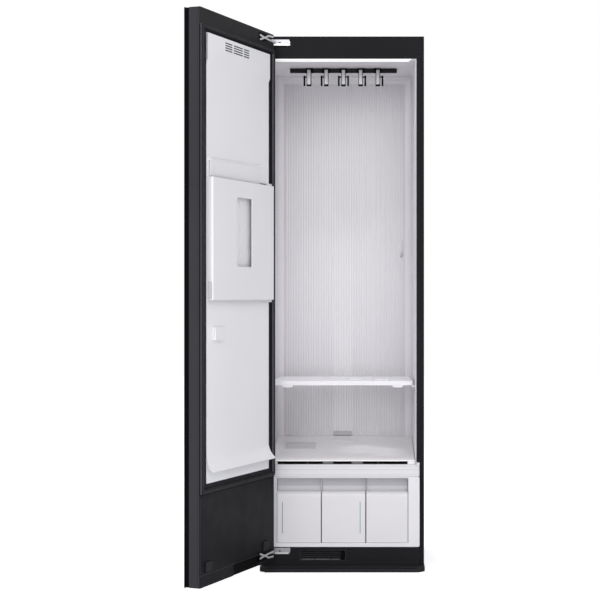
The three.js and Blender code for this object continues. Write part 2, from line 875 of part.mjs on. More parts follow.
// A sloping floor with a front lip, a sunk panel, vent slots and a leg along each side.
function floorTray() {
  const low = trayLow;
  const lipTop = low + tray.lipHeight;
  const rear = trayRear;
  const slopeAt = (y) => lipTop + (tray.rise * (y - tray.front)) / (rear - tray.front);
  const section = polygon([
    [tray.front, low],
    [tray.front, lipTop],
    [rear, slopeAt(rear)],
    [rear, slopeAt(rear) - tray.plate],
    [tray.front + tray.lipDepth, slopeAt(tray.front + tray.lipDepth) - tray.plate],
    [tray.front + tray.lipDepth, low],
  ]);
  const half = trayHalf;
  const legInner = filterHalf + tray.legGap;
  const legBack = rear - tray.legBackGap;
  let floor = prism('x', section, about(0, half));
  const leg = polygon([
    [tray.front + tray.lipDepth / 2, filterLow],
    [legBack, filterLow],
    [legBack, slopeAt(legBack) - tray.plate / 2],
    [tray.front + tray.lipDepth / 2, slopeAt(tray.front + tray.lipDepth / 2) - tray.plate / 2],
  ]);
  for (const x of [[legInner, half], [-half, -legInner]]) floor = join(floor, prism('x', leg, x));
  const corner = backFillet - seat;
  const plan = new THREE.Shape();
  plan.moveTo(-half, tray.front - overrun);
  plan.lineTo(half, tray.front - overrun);
  plan.absarc(half - corner, rear - corner, corner, 0, Math.PI / 2);
  plan.absarc(-half + corner, rear - corner, corner, Math.PI / 2, Math.PI);
  const sides = prism('z', plan, [sillTop - overrun, slopeAt(rear) + overrun], 6);
  floor = floor.intersect(sides);
  const panelY = [tray.front + tray.panelInset, rear - tray.panelInset / 2];
  const panelHalf = legInner - tray.panelSide;
  const sunk = polygon([
    [panelY[0], slopeAt(panelY[0]) - tray.panelDepth],
    [panelY[1], slopeAt(panelY[1]) - tray.panelDepth],
    [panelY[1], slopeAt(panelY[1]) + overrun],
    [panelY[0], slopeAt(panelY[0]) + overrun],
  ]);
  floor = cut(floor, prism('x', sunk, about(0, panelHalf)));
  const heights = [low - overrun, slopeAt(rear) + overrun];
  const ventX = [tray.ventInset - chamberHalf, tray.ventInset - chamberHalf + tray.ventWidth];
  for (let row = 0; row < tray.ventRows; row += 1) {
    const y = rear - tray.ventBack + row * tray.ventPitch;
    floor = cut(floor, block(ventX, [y, y + tray.ventSlot], heights));
  }
  const outletY = about(rear - tray.outletBack, tray.outletSlot / 2);
  for (let i = 0; i < tray.outletCount; i += 1) {
    const x = tray.outletLeft + i * tray.outletPitch;
    floor = cut(floor, block([x, x + tray.outletWidth], outletY, heights));
  }
  return floor;
}

place(group, 'chamber_liner', chamberLiner(), 'liner');
place(group, 'chamber_cove', chamberCove(), 'liner');
place(group, 'shelf_ledge_left', shelfLedge(-1), 'liner');
place(group, 'shelf_ledge_right', shelfLedge(1), 'liner');
place(group, 'rib_panel', ribPanel(), 'liner');
place(group, 'steam_vent', steamVentGrille(), 'vent');
place(group, 'light_bar', lightBarStrip(), 'light');
place(group, 'sill', stepSill(), 'whitePlastic');
place(group, 'lint_filter', lintFilter(), 'blackPlastic');
place(group, 'floor_tray', floorTray(), 'whitePlastic');

// Pull-out shelf with two tie slots

function shelfBoard() {
  const outlineAt = (inset) => softPolygon([
    [-shelfFrontHalf + inset, shelf.front + inset],
    [shelfFrontHalf - inset, shelf.front + inset],
    [shelfBackHalf - inset, shelfBack - inset],
    [-shelfBackHalf + inset, shelfBack - inset],
  ], shelf.corner - inset / 2);
  const board = prism('z', outlineAt(0), [shelfUnder, shelfTop]);
  const hollow = prism('z', outlineAt(shelf.wall), [shelfUnder - overrun, shelfTop - shelf.plate]);
  let whole = cut(board, hollow);
  const under = [shelfUnder, shelfTop - shelf.plate / 2];
  for (const { fromMiddle, width, fromFront, depth } of tieSlots) {
    const x = [fromMiddle, fromMiddle + width];
    const y = [shelf.front + fromFront, shelf.front + fromFront + depth];
    const collar = roundedRect(grow(x, shelf.wall), grow(y, shelf.wall), shelf.slotCorner);
    whole = join(whole, prism('z', collar, under));
    const slot = roundedRect(x, y, shelf.slotCorner);
    whole = cut(whole, prism('z', slot, [shelfUnder - overrun, shelfTop + overrun]));
  }
  for (const side of [-1, 1]) {
    const x = about(side * (shelfFrontHalf - shelf.bossInset), shelf.bossWidth / 2);
    const boss = softPolygon([
      [x[0], shelfUnder + shelf.wall],
      [x[1], shelfUnder + shelf.wall],
      [x[1] - shelf.bossDrop / 2, shelfUnder - shelf.bossDrop],
      [x[0] + shelf.bossDrop / 2, shelfUnder - shelf.bossDrop],
    ], shelf.wall);
    const depths = [shelf.front + shelf.wall / 2, shelf.front + shelf.bossDepth];
    whole = join(whole, prism('y', boss, depths));
  }
  return whole;
}

place(group, 'shelf', shelfBoard(), 'whitePlastic');

// Hanger bar under the ceiling, its drive above it, and the five twisting hanger holders

const holder = {
  count: 5,
  pitch: 65.5,
  width: 17,
  drop: 51,
  frontTop: 5.7,
  strap: 3,
  strapInner: 13,
  back: 12,
  underBar: 2.3,
  bottomRadius: 7,
  hubRadius: 6,
  pinRadius: 3,
  pinLength: 10,
  armReach: 11,
  armHeight: 4.3,
  armTop: 37.7,
  prongWidth: 3.5,
  prongRise: 2.7,
  prongLow: 1.5,
  hookHalf: 4,
};
const drive = {
  half: 48,
  forward: 55,
  depth: 105,
  height: 46,
  corner: 8,
  motorRadius: 24,
  motorHeight: 14,
};

const holderLow = barLow - holder.drop;

function hangerBarSolid() {
  const section = roundedRect(about(0, hangerBar.depth / 2), [barLow, barTop], hangerBar.edge);
  let bar = prism('x', section, about(0, hangerBar.length / 2));
  for (const side of [-1, 1]) {
    const centre = [side * hangerBar.stemX, 0];
    const headLow = linerRoof + seat;
    bar = join(
      bar,
      rod('z', centre, hangerBar.stemRadius, [middle([barLow, barTop]), headLow + seat]),
      rod('z', centre, hangerBar.headRadius, [headLow, headLow + hangerBar.headHeight]),
    );
  }
  const boreZ = [barLow - overrun, barLow + holder.pinLength + seat];
  for (let i = 0; i < holder.count; i += 1) {
    const x = (i - (holder.count - 1) / 2) * holder.pitch;
    bar = cut(bar, rod('z', [x, 0], holder.pinRadius + seat, boreZ, 12));
  }
  return bar;
}

// A hanger holder wraps in front of the bar, turns on a pin under it and has a hook on one or
// both sides, over whose arm a hanger's wire goes.
function hangerHolder(hookSides) {
  const top = barLow - holder.underBar;
  const front = -holder.strapInner - holder.strap;
  const radius = holder.bottomRadius;
  const outline = polygon([
    [front, barTop - holder.frontTop],
    [front, holderLow + radius],
    ...arc(front + radius, holderLow + radius, radius, 180, 270, 4),
    ...arc(holder.back - radius * 2, holderLow + radius, radius, 270, 350, 4),
    [holder.back, top - radius * 2],
    [holder.back, top],
    [-holder.strapInner, top],
    [-holder.strapInner, barTop - holder.frontTop],
  ]);
  let body = prism('x', outline, about(0, holder.width / 2));
  body = join(
    body,
    rod('z', [0, 0], holder.hubRadius, [top - seat, barLow - seat], 12),
    rod('z', [0, 0], holder.pinRadius, [top - seat, barLow + holder.pinLength], 12),
  );
  const armTop = holderLow + holder.armTop;
  for (const side of hookSides) {
    const inner = holder.width / 2 - seat;
    const outer = holder.width / 2 + holder.armReach;
    const hook = softPolygon([
      [side * inner, armTop],
      [side * (outer - holder.prongWidth), armTop],
      [side * (outer - holder.prongWidth), armTop + holder.prongRise],
      [side * outer, armTop + holder.prongRise],
      [side * outer, holderLow + holder.prongLow],
      [side * (outer - holder.prongWidth), holderLow + holder.prongLow],
      [side * (outer - holder.prongWidth), armTop - holder.armHeight],
      [side * inner, armTop - holder.armHeight],
    ], holder.prongWidth / 3);
    body = join(body, prism('y', hook, about(0, holder.hookHalf)));
  }
  return body;
}

function hangerDrive() {
  const low = linerRoof + seat;
  const front = hangerBarY - drive.forward;
  const plan = roundedRect(about(0, drive.half), [front, front + drive.depth], drive.corner);
  const box = prism('z', plan, [low, low + drive.height]);
  const motorY = front + drive.depth / 2;
  const motorZ = [low + drive.height / 2, low + drive.height + drive.motorHeight];
  const motor = rod('z', [0, motorY], drive.motorRadius, motorZ);
  return join(box, motor);
}

const hooksOf = [[-1], [-1], [-1, 1], [1], [1]];
place(group, 'hanger_bar', hangerBarSolid(), 'blackPlastic', [0, hangerBarY, 0]);
for (let i = 0; i < holder.count; i += 1) {
  const x = (i - (holder.count - 1) / 2) * holder.pitch;
  place(group, `hanger_holder_${i + 1}`, hangerHolder(hooksOf[i]), 'silver', [x, hangerBarY, 0]);
}
place(group, 'hanger_drive', hangerDrive(), 'galvanised');

// Bay with two water tanks and a drawer behind recessed grips

const bay = {
  frameProud: 3,
  face: 3,
  border: 42.5,
  lowBorder: 14.7,
  highBorder: 7.3,
  corner: 6,
  sleeve: 2.5,
  sleeveDepth: 20,
  skirtDepth: 12,
  wall: 2.5,
  depth: 255,
  divider: 2,
};
const moduleWidthShares = [0.339, 0.339];
const module = {
  clearance: 1,
  wall: 3,
  edgeRadius: 19,
  pocketDepth: 22,
  pocketFront: 21,
  pocketFall: 30,
  backLean: 4,
  bandTop: 29,
  slitWidth: 3,
  slitRise: 34,
  slitHeight: 116,
  slitInset: 20,
  binGap: 1.5,
  binBackGap: 10,
  binWall: 2.5,
  binFall: 22,
  binCorner: 8,
  binRim: 9,
};
const bayHalf = frameHalf - bay.border;
const bayFloor = bayLow + bay.lowBorder;
const bayCeiling = sillLow - bay.highBorder;
const bayBack = bay.sleeveDepth + seat + bay.depth;
const dividers = [
  -bayHalf + 2 * bayHalf * moduleWidthShares[0],
  -bayHalf + 2 * bayHalf * (moduleWidthShares[0] + moduleWidthShares[1]),
];
const dividerHalf = bay.divider / 2;
const modules = [
  [-bayHalf, dividers[0] - dividerHalf],
  [dividers[0] + dividerHalf, dividers[1] - dividerHalf],
  [dividers[1] + dividerHalf, bayHalf],
];

function withHole(outer, hole) {
  outer.holes.push(hole);
  return outer;
}

function bayFrame() {
  const x = about(0, frameHalf - seat);
  const z = [bayLow + seat, sillLow - seat];
  const mouth = () => roundedRect(about(0, bayHalf), [bayFloor, bayCeiling], bay.corner);
  const front = -bay.frameProud;
  const face = prism('y', withHole(roundedRect(x, z, bay.corner), mouth()), [front, front + bay.face]);
  const sleeveOuter = roundedRect(
    about(0, bayHalf + bay.sleeve),
    [bayFloor - bay.sleeve, bayCeiling + bay.sleeve],
    bay.corner + bay.sleeve,
  );
  const sleeve = prism('y', withHole(sleeveOuter, mouth()), [front + bay.face / 2, bay.sleeveDepth]);
  const skirtHole = roundedRect(grow(x, -bay.sleeve), grow(z, -bay.sleeve), bay.corner - bay.sleeve);
  const skirtShape = withHole(roundedRect(x, z, bay.corner), skirtHole);
  const skirt = prism('y', skirtShape, [front + bay.face / 2, bay.skirtDepth]);
  return join(face, sleeve, skirt);
}

function bayBox() {
  const y = [bay.sleeveDepth + seat, bayBack];
  const outer = block(about(0, bayHalf + bay.wall), y, [bayFloor - bay.wall, bayCeiling + bay.wall]);
  const rooms = modules.map((x) => block(x, [y[0] - overrun, y[1] - bay.wall], [bayFloor, bayCeiling]));
  return cut(outer, ...rooms);
}

// The front of a tank or drawer is one moulding: a face with a rounded top edge, a finger
// pocket behind it, and an upright wall that closes the bay above the pocket.
function moduleFront(x, slitX) {
  const low = bayFloor + module.clearance;
  const high = bayCeiling - module.clearance;
  const edgeTop = sillLow - bay.highBorder - module.bandTop - module.edgeRadius;
  const shoulder = edgeTop - module.edgeRadius;
  const pocketBack = module.pocketFront + module.pocketDepth;
  const pocketLow = edgeTop - module.pocketFall;
  const bandTop = edgeTop + module.edgeRadius;
  const outline = [
    [0, low],
    ...arc(module.edgeRadius, shoulder, module.edgeRadius, 180, 90, 6),
    [module.pocketFront, edgeTop],
    [module.pocketFront, pocketLow],
    [pocketBack, pocketLow],
    [pocketBack - module.backLean, bandTop],
    [pocketBack - module.backLean, high],
    [pocketBack - module.backLean + module.wall, high],
    [pocketBack - module.backLean + module.wall, bandTop],
    [pocketBack + module.wall, pocketLow - module.wall],
    [module.pocketFront - module.wall, pocketLow - module.wall],
    [module.pocketFront - module.wall, edgeTop - module.wall],
    ...arc(module.edgeRadius, shoulder, module.edgeRadius - module.wall, 90, 180, 6),
    [module.wall, low],
  ];
  const span = [x[0] + module.clearance, x[1] - module.clearance];
  const mouth = roundedRect(about(0, bayHalf - module.clearance), [low, high], bay.corner - module.clearance);
  const withinMouth = prism('y', mouth, [-overrun, pocketBack + module.wall + overrun]);
  const front = prism('x', polygon(outline), span).intersect(withinMouth);
  if (slitX === null) return front;
  const heights = [low + module.slitRise, low + module.slitRise + module.slitHeight];
  const slit = block(about(slitX, module.slitWidth / 2), [-overrun, module.wall + overrun], heights);
  return cut(front, slit);
}

// An open bin with an inward rim, behind a front.
function moduleBin(x) {
  const spanX = grow(x, -module.binGap);
  const from = module.pocketFront + module.pocketDepth + module.wall + seat;
  const spanY = [from, bayBack - bay.wall - module.binBackGap];
  const spanZ = [bayFloor + module.clearance / 2, bayCeiling - module.binFall];
  const hollowCorner = module.binCorner - module.binWall;
  const planWithin = (by) => roundedRect(grow(spanX, -by), grow(spanY, -by), hollowCorner);
  const mouth = roundedRect(about(0, bayHalf - module.binGap), [spanZ[0], bayCeiling], bay.corner);
  const withinMouth = prism('y', mouth, grow(spanY, overrun));
  const bin = prism('z', roundedRect(spanX, spanY, module.binCorner), spanZ).intersect(withinMouth);
  const hollow = prism('z', planWithin(module.binWall), grow(spanZ, -module.binWall));
  const rimHole = prism('z', planWithin(module.binRim), [spanZ[1] - module.binWall * 2, spanZ[1] + overrun]);
  return cut(bin, hollow, rimHole);
}

place(group, 'bay_frame', bayFrame(), 'whitePlastic');
place(group, 'bay_box', bayBox(), 'whitePlastic');
const slitXs = [modules[0][0] + module.slitInset, modules[1][1] - module.slitInset, null];
['fill_tank', 'drain_tank', 'accessory_drawer'].forEach((name, i) => {
  place(group, `${name}_front`, moduleFront(modules[i], slitXs[i]), 'whitePlastic');
  place(group, name, moduleBin(modules[i]), i < 2 ? 'vent' : 'whitePlastic');
});

// Hinge plates with their arms and pins

const hinge = {
  plateLength: 98,
  plateStart: 10,
  plateHeight: 25.5,
  topBelow: 10,
  bottomAbove: 38.8,
  thick: 6,
  thin: 3.5,
  strip: 8,
  chamfer: 2,
  endSlant: 5,
  endFall: 11,
  holeX: 60,
  holeRadius: 3.2,
  armThickness: 4,
  eyeRadius: 6.5,
  pinRadius: 2.5,
  notchHalf: 11,
  notchLength: 43,
  pinGrip: 4,
  pinClearance: 0.3,
};
const topEye = cabinetHeight - hinge.topBelow - hinge.plateHeight / 2;
const bottomEye = plinthHeight + hinge.bottomAbove + hinge.plateHeight / 2;
const notches = [topEye, bottomEye].map((eye) => about(eye, hinge.notchHalf));

function hingePlate(eye, outward) {
  const z = about(eye, hinge.plateHeight / 2);
  const start = -halfWidth + hinge.plateStart;
  const section = polygon([
    [-seat, z[0]],
    [-hinge.thick, z[0] + hinge.chamfer],
    [-hinge.thick, z[0] + hinge.strip],
    [-hinge.thin, z[0] + hinge.strip + hinge.chamfer],
    [-hinge.thin, z[1] - hinge.chamfer],
    [-seat, z[1]],
  ]);
  const bar = prism('x', section, [start, start + hinge.plateLength]);
  const hole = rod('y', [start + hinge.holeX, eye], hinge.holeRadius, [-hinge.thick - overrun, overrun], 8);
  const end = start + hinge.plateLength;
  const tip = eye + (outward * hinge.plateHeight) / 2;
  const corner = polygon([
    [end - hinge.endSlant, tip],
    [end, tip - outward * hinge.endFall],
    [end + overrun, tip - outward * hinge.endFall],
    [end + overrun, tip + outward * overrun],
    [end - hinge.endSlant, tip + outward * overrun],
  ]);
  const slant = prism('y', corner, [-hinge.thick - overrun, overrun]);
  const armHeights = about(eye, hinge.armThickness / 2);
  const arm = polygon([
    ...arc(pivotX, pivotY, hinge.eyeRadius, 180, 360, 8),
    [pivotX + hinge.eyeRadius * 2, pivotY / 2],
    [start + hinge.plateHeight, -hinge.thin],
    [start + hinge.plateHeight, -seat * 3],
    [start, -seat * 3],
    [start, -hinge.thin * 2],
    [pivotX - hinge.eyeRadius / 4, pivotY / 2],
  ]);
  const reach = hinge.notchHalf + hinge.pinGrip;
  const pin = rod('z', [pivotX, pivotY], hinge.pinRadius, about(eye, reach), 12);
  return join(cut(bar, hole, slant), prism('z', arm, armHeights), pin);
}

place(group, 'hinge_plate_top', hingePlate(topEye, 1), 'silver');
place(group, 'hinge_plate_bottom', hingePlate(bottomEye, -1), 'silver');

// Door, drawn closed and turned open about the hinge pins

const door = new THREE.Group();
door.position.set(pivotX, pivotY, 0);
door.rotation.z = -radians(doorOpenAngle);
const leaf = new THREE.Group();
leaf.position.set(-pivotX, -pivotY, 0);
door.add(leaf);
group.add(door);

const panel = {
  corner: 6,
  glass: 4,
  carrier: 13.4,
  carrierInset: 1.5,
  carrierWall: 8,
  carrierBack: 3,
  carrierRail: 45,
  coverThickness: 6,
  frameWall: 3,
  frameBack: 2,
  hingeBlock: 50,
  lineWidth: 1.5,
  lineDepth: 1,
  lineHeight: 39,
  recessCentre: -66,
  recessWidth: 213,
  recessHeight: 50,
  recessDepth: 3.5,
  bumperWidth: 52,
  bumperHeight: 36,
  bumperRise: 6,
  bumperCorner: 7,
  bumperAboveDoor: 64,
  apronRise: 1,
  apronInset: 5.5,
  apronGap: 3,
  apronCorner: 2,
};
const bumperInsets = [78, 60];
const doorBack = doorFace - doorThickness;
const doorX = about(0, doorHalf);
const doorZ = [doorLow, doorHigh];
const carrierY = [doorBack + panel.glass + seat, doorBack + panel.glass + seat + panel.carrier];
const coverY = [doorFace - panel.coverThickness, doorFace];
const frameY = [carrierY[1] + seat, coverY[0] - seat];

// The white inner liner of the door and what lies on it. Heights over the inner face are
// added to the face's own place.
const inner = {
  side: 50,
  belowSill: 1.8,
  belowHeader: 2.6,
  wall: 3,
  face: 2,
  raised: 7,
  creaseDrop: 88,
  creaseHeight: 12,
  lipReach: 30.5,
  lipTipRise: 39,
  lipRootRise: 85,
  lipThickness: 2.4,
};
const innerHalf = doorHalf - inner.side;
const innerX = about(0, innerHalf);
const innerZ = [sillTop - inner.belowSill, headerLow - inner.belowHeader];
const over = (n) => doorFace + n;

function hingeNotches() {
  const x = [-doorHalf - overrun, -doorHalf + hinge.notchLength];
  const y = [doorBack + panel.glass, doorFace + overrun];
  return notches.map((z) => block(x, y, z));
}

function doorGlass() {
  return prism('y', roundedRect(doorX, doorZ, panel.corner / 2), [doorBack, doorBack + panel.glass]);
}

function glassCarrier() {
  const x = grow(doorX, -panel.carrierInset);
  const z = grow(doorZ, -panel.carrierInset);
  const body = prism('y', roundedRect(x, z, panel.corner / 2), carrierY);
  const hollow = block(
    grow(x, -panel.carrierWall),
    [carrierY[0] - overrun, carrierY[1] - panel.carrierBack],
    grow(z, -panel.carrierRail),
  );
  const bores = notches.map((span) => {
    const reach = grow(span, hinge.pinGrip + hinge.pinClearance);
    return rod('z', [pivotX, pivotY], hinge.pinRadius + hinge.pinClearance, reach, 12);
  });
  return cut(body, hollow, ...hingeNotches(), ...bores);
}

function doorFrame() {
  const body = prism('y', roundedRect(doorX, doorZ, panel.corner), frameY);
  const wall = panel.frameWall;
  const hollowShape = roundedRect(grow(doorX, -wall), grow(doorZ, -wall), panel.corner - wall);
  const blocks = notches.map((z) => block(
    [-doorHalf - overrun, -doorHalf + panel.hingeBlock],
    grow(frameY, overrun),
    grow(z, panel.corner),
  ));
  const hollow = cut(prism('y', hollowShape, [frameY[0] + panel.frameBack, frameY[1] + overrun]), ...blocks);
  return cut(body, hollow, ...hingeNotches());
}

function innerCover() {
  const outline = roundedRect(doorX, doorZ, panel.corner);
  const window = block(grow(innerX, seat), grow(coverY, overrun), grow(innerZ, seat));
  const recess = block(
    about(panel.recessCentre, panel.recessWidth / 2),
    [over(-panel.recessDepth), over(overrun)],
    [doorLow - overrun, doorLow + panel.recessHeight],
  );
  const lineX = [-doorHalf + panel.hingeBlock, doorHalf - panel.frameWall * 2];
  const lineZ = [doorLow + panel.lineHeight, doorLow + panel.lineHeight + panel.lineWidth];
  const line = block(lineX, [over(-panel.lineDepth), over(overrun)], lineZ);
  const apronX = grow(doorX, -panel.apronInset);
  const apronZ = [lineZ[1], sillLow + gasket.aboveBay - panel.apronGap];
  const apronShape = roundedRect(apronX, apronZ, panel.apronCorner);
  const apron = prism('y', apronShape, [over(-panel.coverThickness / 2), over(panel.apronRise)]);
  const plate = join(prism('y', outline, coverY), apron);
  let cover = cut(plate, window, recess, line, ...hingeNotches());
  const padCentres = [-doorHalf + bumperInsets[0], doorHalf - bumperInsets[1]];
  for (const centre of padCentres) {
    const padX = about(centre, panel.bumperWidth / 2);
    const padZ = about(doorLow + panel.bumperAboveDoor, panel.bumperHeight / 2);
    const pad = roundedRect(padX, padZ, panel.bumperCorner);
    cover = join(cover, prism('y', pad, [over(-panel.coverThickness / 2), over(panel.bumperRise)]));
  }
  return cover;
}

const gasket = {
  inset: 5.5,
  width: 16,
  aboveBay: 9.3,
  top: 22,
  corner: 12,
  base: 5,
  crownInset: 3,
  crown: 9.4,
};

function doorGasket() {
  const ring = (inset, y) => {
    const x = about(0, doorHalf - gasket.inset - inset);
    const z = [sillLow + gasket.aboveBay + inset, headerLow + gasket.top - inset];
    const width = gasket.width - inset * 2;
    const hole = roundedRect(grow(x, -width), grow(z, -width), gasket.corner / 3);
    return prism('y', withHole(roundedRect(x, z, gasket.corner), hole), y, 4);
  };
  return join(
    ring(0, [over(seat), over(gasket.base)]),
    ring(gasket.crownInset, [over(gasket.base / 2), over(gasket.crown)]),
  );
}

// Trouser press: fixed board, hinged panel with a window, latch and hem clamp

const press = {
  belowTop: 476,
  height: 407.5,
  proud: 24,
  freeGap: 1,
  wall: 3,
  corner: 6,
  windowHalf: 60.5,
  windowRise: 113.5,
  windowHeight: 237,
  windowCorner: 8,
  pinInset: 4,
  pinRise: 8,
  pinRadius: 3,
  pinClearance: 0.3,
  bossRadius: 4,
  pinReach: 8,
  boardSide: 12,
  boardThickness: 3,
  earHeight: 8,
  earGap: 0.6,
  earWall: 4,
  slotColumns: 5,
  slotRows: 4,
  slotHalf: 2.5,
  slotHeight: 24,
};
const latch = {
  rise: 3.5,
  height: 56,
  low: 7,
  high: 19.5,
  clearance: 1,
  thickness: 4,
  grip: 24,
};
const hem = {
  insetLeft: 84,
  insetRight: 18,
  abovePress: 2,
  drop: 60,
  pinRise: 7,
  thickness: 3,
  rise: 3.5,
  curl: 5,
  bossRadius: 4,
  pinRadius: 2,
  pinReach: 5,
  earWidth: 7,
  earGap: 0.6,
  earWall: 3.5,
};
const clip = {
  fromEdge: 41,
  width: 70,
  belowPress: 90.5,
  height: 45,
  rise: 15,
  jaw: 5,
  corner: 5,
  groove: 1,
};
const doorVent = {
  centreX: 24.5,
  half: 97.5,
  belowTop: 12,
  height: 30,
  proud: 1,
  columns: 3,
  rows: 4,
  slotHeight: 3.9,
  land: 8,
  margin: 4,
};
const pressX = [-innerHalf, innerHalf - press.freeGap];
const pressHigh = innerZ[1] - press.belowTop;
const pressZ = [pressHigh - press.height, pressHigh];
const windowX = about(0, press.windowHalf);
const windowZ = [pressZ[0] + press.windowRise, pressZ[0] + press.windowRise + press.windowHeight];
const pressPinX = pressX[0] + press.pinInset;
const boardX = about(0, innerHalf - press.boardSide);
const latchZ = [pressZ[0] + latch.rise, pressZ[0] + latch.rise + latch.height];
const hemX = [-innerHalf + hem.insetLeft, innerHalf - hem.insetRight];
const hemLow = pressHigh + hem.abovePress;
const hemPinZ = hemLow + hem.drop;
const clipX = [innerHalf - clip.fromEdge - clip.width, innerHalf - clip.fromEdge];
const clipZ = [pressZ[0] - clip.belowPress - clip.height, pressZ[0] - clip.belowPress];
const doorVentX = about(doorVent.centreX, doorVent.half);
const doorVentZ = [innerZ[1] - doorVent.belowTop - doorVent.height, innerZ[1] - doorVent.belowTop];

// The drip lip's points, as shares of its reach over the liner and of its fall from root to tip.
const lipUnderShares = [[0.24, 0.26], [0.55, 0.06]];
const lipUpperShares = [[0.62, 0.24], [0.34, 0.5], [0.16, 0.76]];

// The door liner's cross-section: a raised vent field, a soft crease and a flared drip lip.
function doorLiner() {
  const t = inner.wall;
  const reach = inner.lipReach;
  const [low, high] = innerZ;
  const tip = low + inner.lipTipRise;
  const root = low + inner.lipRootRise;
  const fall = root - tip;
  const thin = inner.lipThickness;
  const creaseHigh = high - inner.creaseDrop;
  const creaseLow = creaseHigh - inner.creaseHeight;
  const under = lipUnderShares.map(([out, up]) => [reach * out, tip + fall * up]);
  const upper = lipUpperShares.map(([out, up]) => [reach * out, tip + fall * up]);
  const section = [
    [inner.face, low],
    [inner.face, under[0][1] + thin * 2],
    ...under,
    [reach - thin, tip - thin],
    [reach, tip],
    ...upper,
    [inner.face, root],
    [inner.face, creaseLow],
    [middle([inner.face, inner.raised]), middle([creaseLow, creaseHigh])],
    [inner.raised, creaseHigh],
    [inner.raised, high],
    [-panel.coverThickness, high],
    [-panel.coverThickness, high - t],
    [inner.raised - t, high - t],
    [inner.raised - t, creaseHigh + t / 2],
    [inner.face - t, creaseLow + t / 2],
    [inner.face - t, low],
  ];
  let liner = prism('x', polygon(section.map(([n, z]) => [over(n), z])), innerX);
  const flangeY = [over(-panel.coverThickness), over(inner.face - t / 2)];
  for (const x of [[innerX[0], innerX[0] + t], [innerX[1] - t, innerX[1]]]) {
    liner = join(liner, block(x, flangeY, innerZ));
  }
  const ventDepths = grow([over(0), over(inner.raised)], overrun);
  liner = cut(liner, block(grow(doorVentX, seat), ventDepths, grow(doorVentZ, seat)));
  const earZ = about(hemPinZ, hem.bossRadius + hem.earWall);
  const earY = [over(inner.face - t / 2), over(hem.pinRise + hem.earWall)];
  const outerX = grow(hemX, hem.earGap + hem.earWidth);
  const bore = rod('x', [over(hem.pinRise), hemPinZ], hem.pinRadius + seat, grow(outerX, overrun), 12);
  const ears = [
    block([outerX[0], hemX[0] - hem.earGap], earY, earZ),
    block([hemX[1] + hem.earGap, outerX[1]], earY, earZ),
  ].map((solid) => cut(solid, bore));
  return join(liner, ...ears);
}

function doorVentGrille() {
  const y = [over(inner.raised - inner.wall), over(inner.raised + doorVent.proud)];
  let grille = prism('y', roundedRect(doorVentX, doorVentZ, doorVent.margin / 2), y);
  const slotsWidth = length(doorVentX) - doorVent.margin * 2;
  const columnPitch = (slotsWidth + doorVent.land) / doorVent.columns;
  const rowPitch = (doorVent.height - doorVent.margin) / doorVent.rows;
  for (let column = 0; column < doorVent.columns; column += 1) {
    const x = doorVentX[0] + doorVent.margin + column * columnPitch;
    for (let row = 0; row < doorVent.rows; row += 1) {
      const z = doorVentZ[0] + doorVent.margin / 2 + (row + 1 / 2) * rowPitch;
      const heights = about(z, doorVent.slotHeight / 2);
      grille = cut(grille, block([x, x + columnPitch - doorVent.land], grow(y, overrun), heights));
    }
  }
  return grille;
}

function pressBoard() {
  const y = [over(inner.face + seat), over(inner.face + seat + press.boardThickness)];
  let board = prism('y', roundedRect(boardX, pressZ, press.corner), y);
  for (let column = 1; column <= press.slotColumns; column += 1) {
    const x = boardX[0] + (length(boardX) * column) / (press.slotColumns + 1);
    for (let row = 1; row <= press.slotRows; row += 1) {
      const z = pressZ[0] + (press.height * row) / (press.slotRows + 1);
      const slot = block(about(x, press.slotHalf), grow(y, overrun), about(z, press.slotHeight / 2));
      board = cut(board, slot);
    }
  }
  const earX = [pressPinX - press.bossRadius, boardX[0] + press.corner * 2];
  const earY = [y[0], over(press.pinRise + press.bossRadius + press.earWall / 2)];
  const outerZ = grow(pressZ, press.earGap + press.earHeight);
  const pinBore = rod(
    'z',
    [pressPinX, over(press.pinRise)],
    press.pinRadius + press.pinClearance,
    grow(outerZ, overrun),
    12,
  );
  const rootX = [boardX[0], earX[1]];
  const lower = [outerZ[0], pressZ[0] - press.earGap];
  const upper = [pressZ[1] + press.earGap, outerZ[1]];
  return join(
    board,
    cut(block(earX, earY, lower), pinBore),
    cut(block(earX, earY, upper), pinBore),
    block(rootX, y, [outerZ[0], pressZ[0] + press.corner * 2]),
    block(rootX, y, [pressZ[1] - press.corner * 2, outerZ[1]]),
  );
}

function pressPanelSolid() {
  const [left, right] = pressX;
  const front = over(press.proud);
  const rise = over(press.pinRise);
  const wall = press.wall;
  const r = press.corner;
  const outline = polygon([
    [right, over(inner.face + seat)],
    ...arc(right - r, front - r, r, 0, 90, 4),
    ...arc(left + r, front - r, r, 90, 180, 4),
    ...arc(pressPinX, rise, press.bossRadius, 180, 420, 8),
    [left + wall, rise + press.bossRadius],
    ...arc(left + r, front - r, r - wall, 180, 90, 4),
    ...arc(right - r, front - r, r - wall, 90, 0, 4),
    [right - wall, over(inner.face + seat)],
  ]);
  const body = prism('z', outline, pressZ);
  const window = roundedRect(windowX, windowZ, press.windowCorner);
  const windowCut = prism('y', window, [front - wall * 2, front + overrun]);
  const latchCut = block(
    [right - wall * 2, right + overrun],
    [over(latch.low - latch.clearance), over(latch.high + latch.clearance)],
    grow(latchZ, latch.clearance),
  );
  const pinSpan = grow(pressZ, press.earGap + press.pinReach);
  const pin = rod('z', [pressPinX, rise], press.pinRadius, pinSpan, 12);
  return join(cut(body, windowCut, latchCut), pin);
}

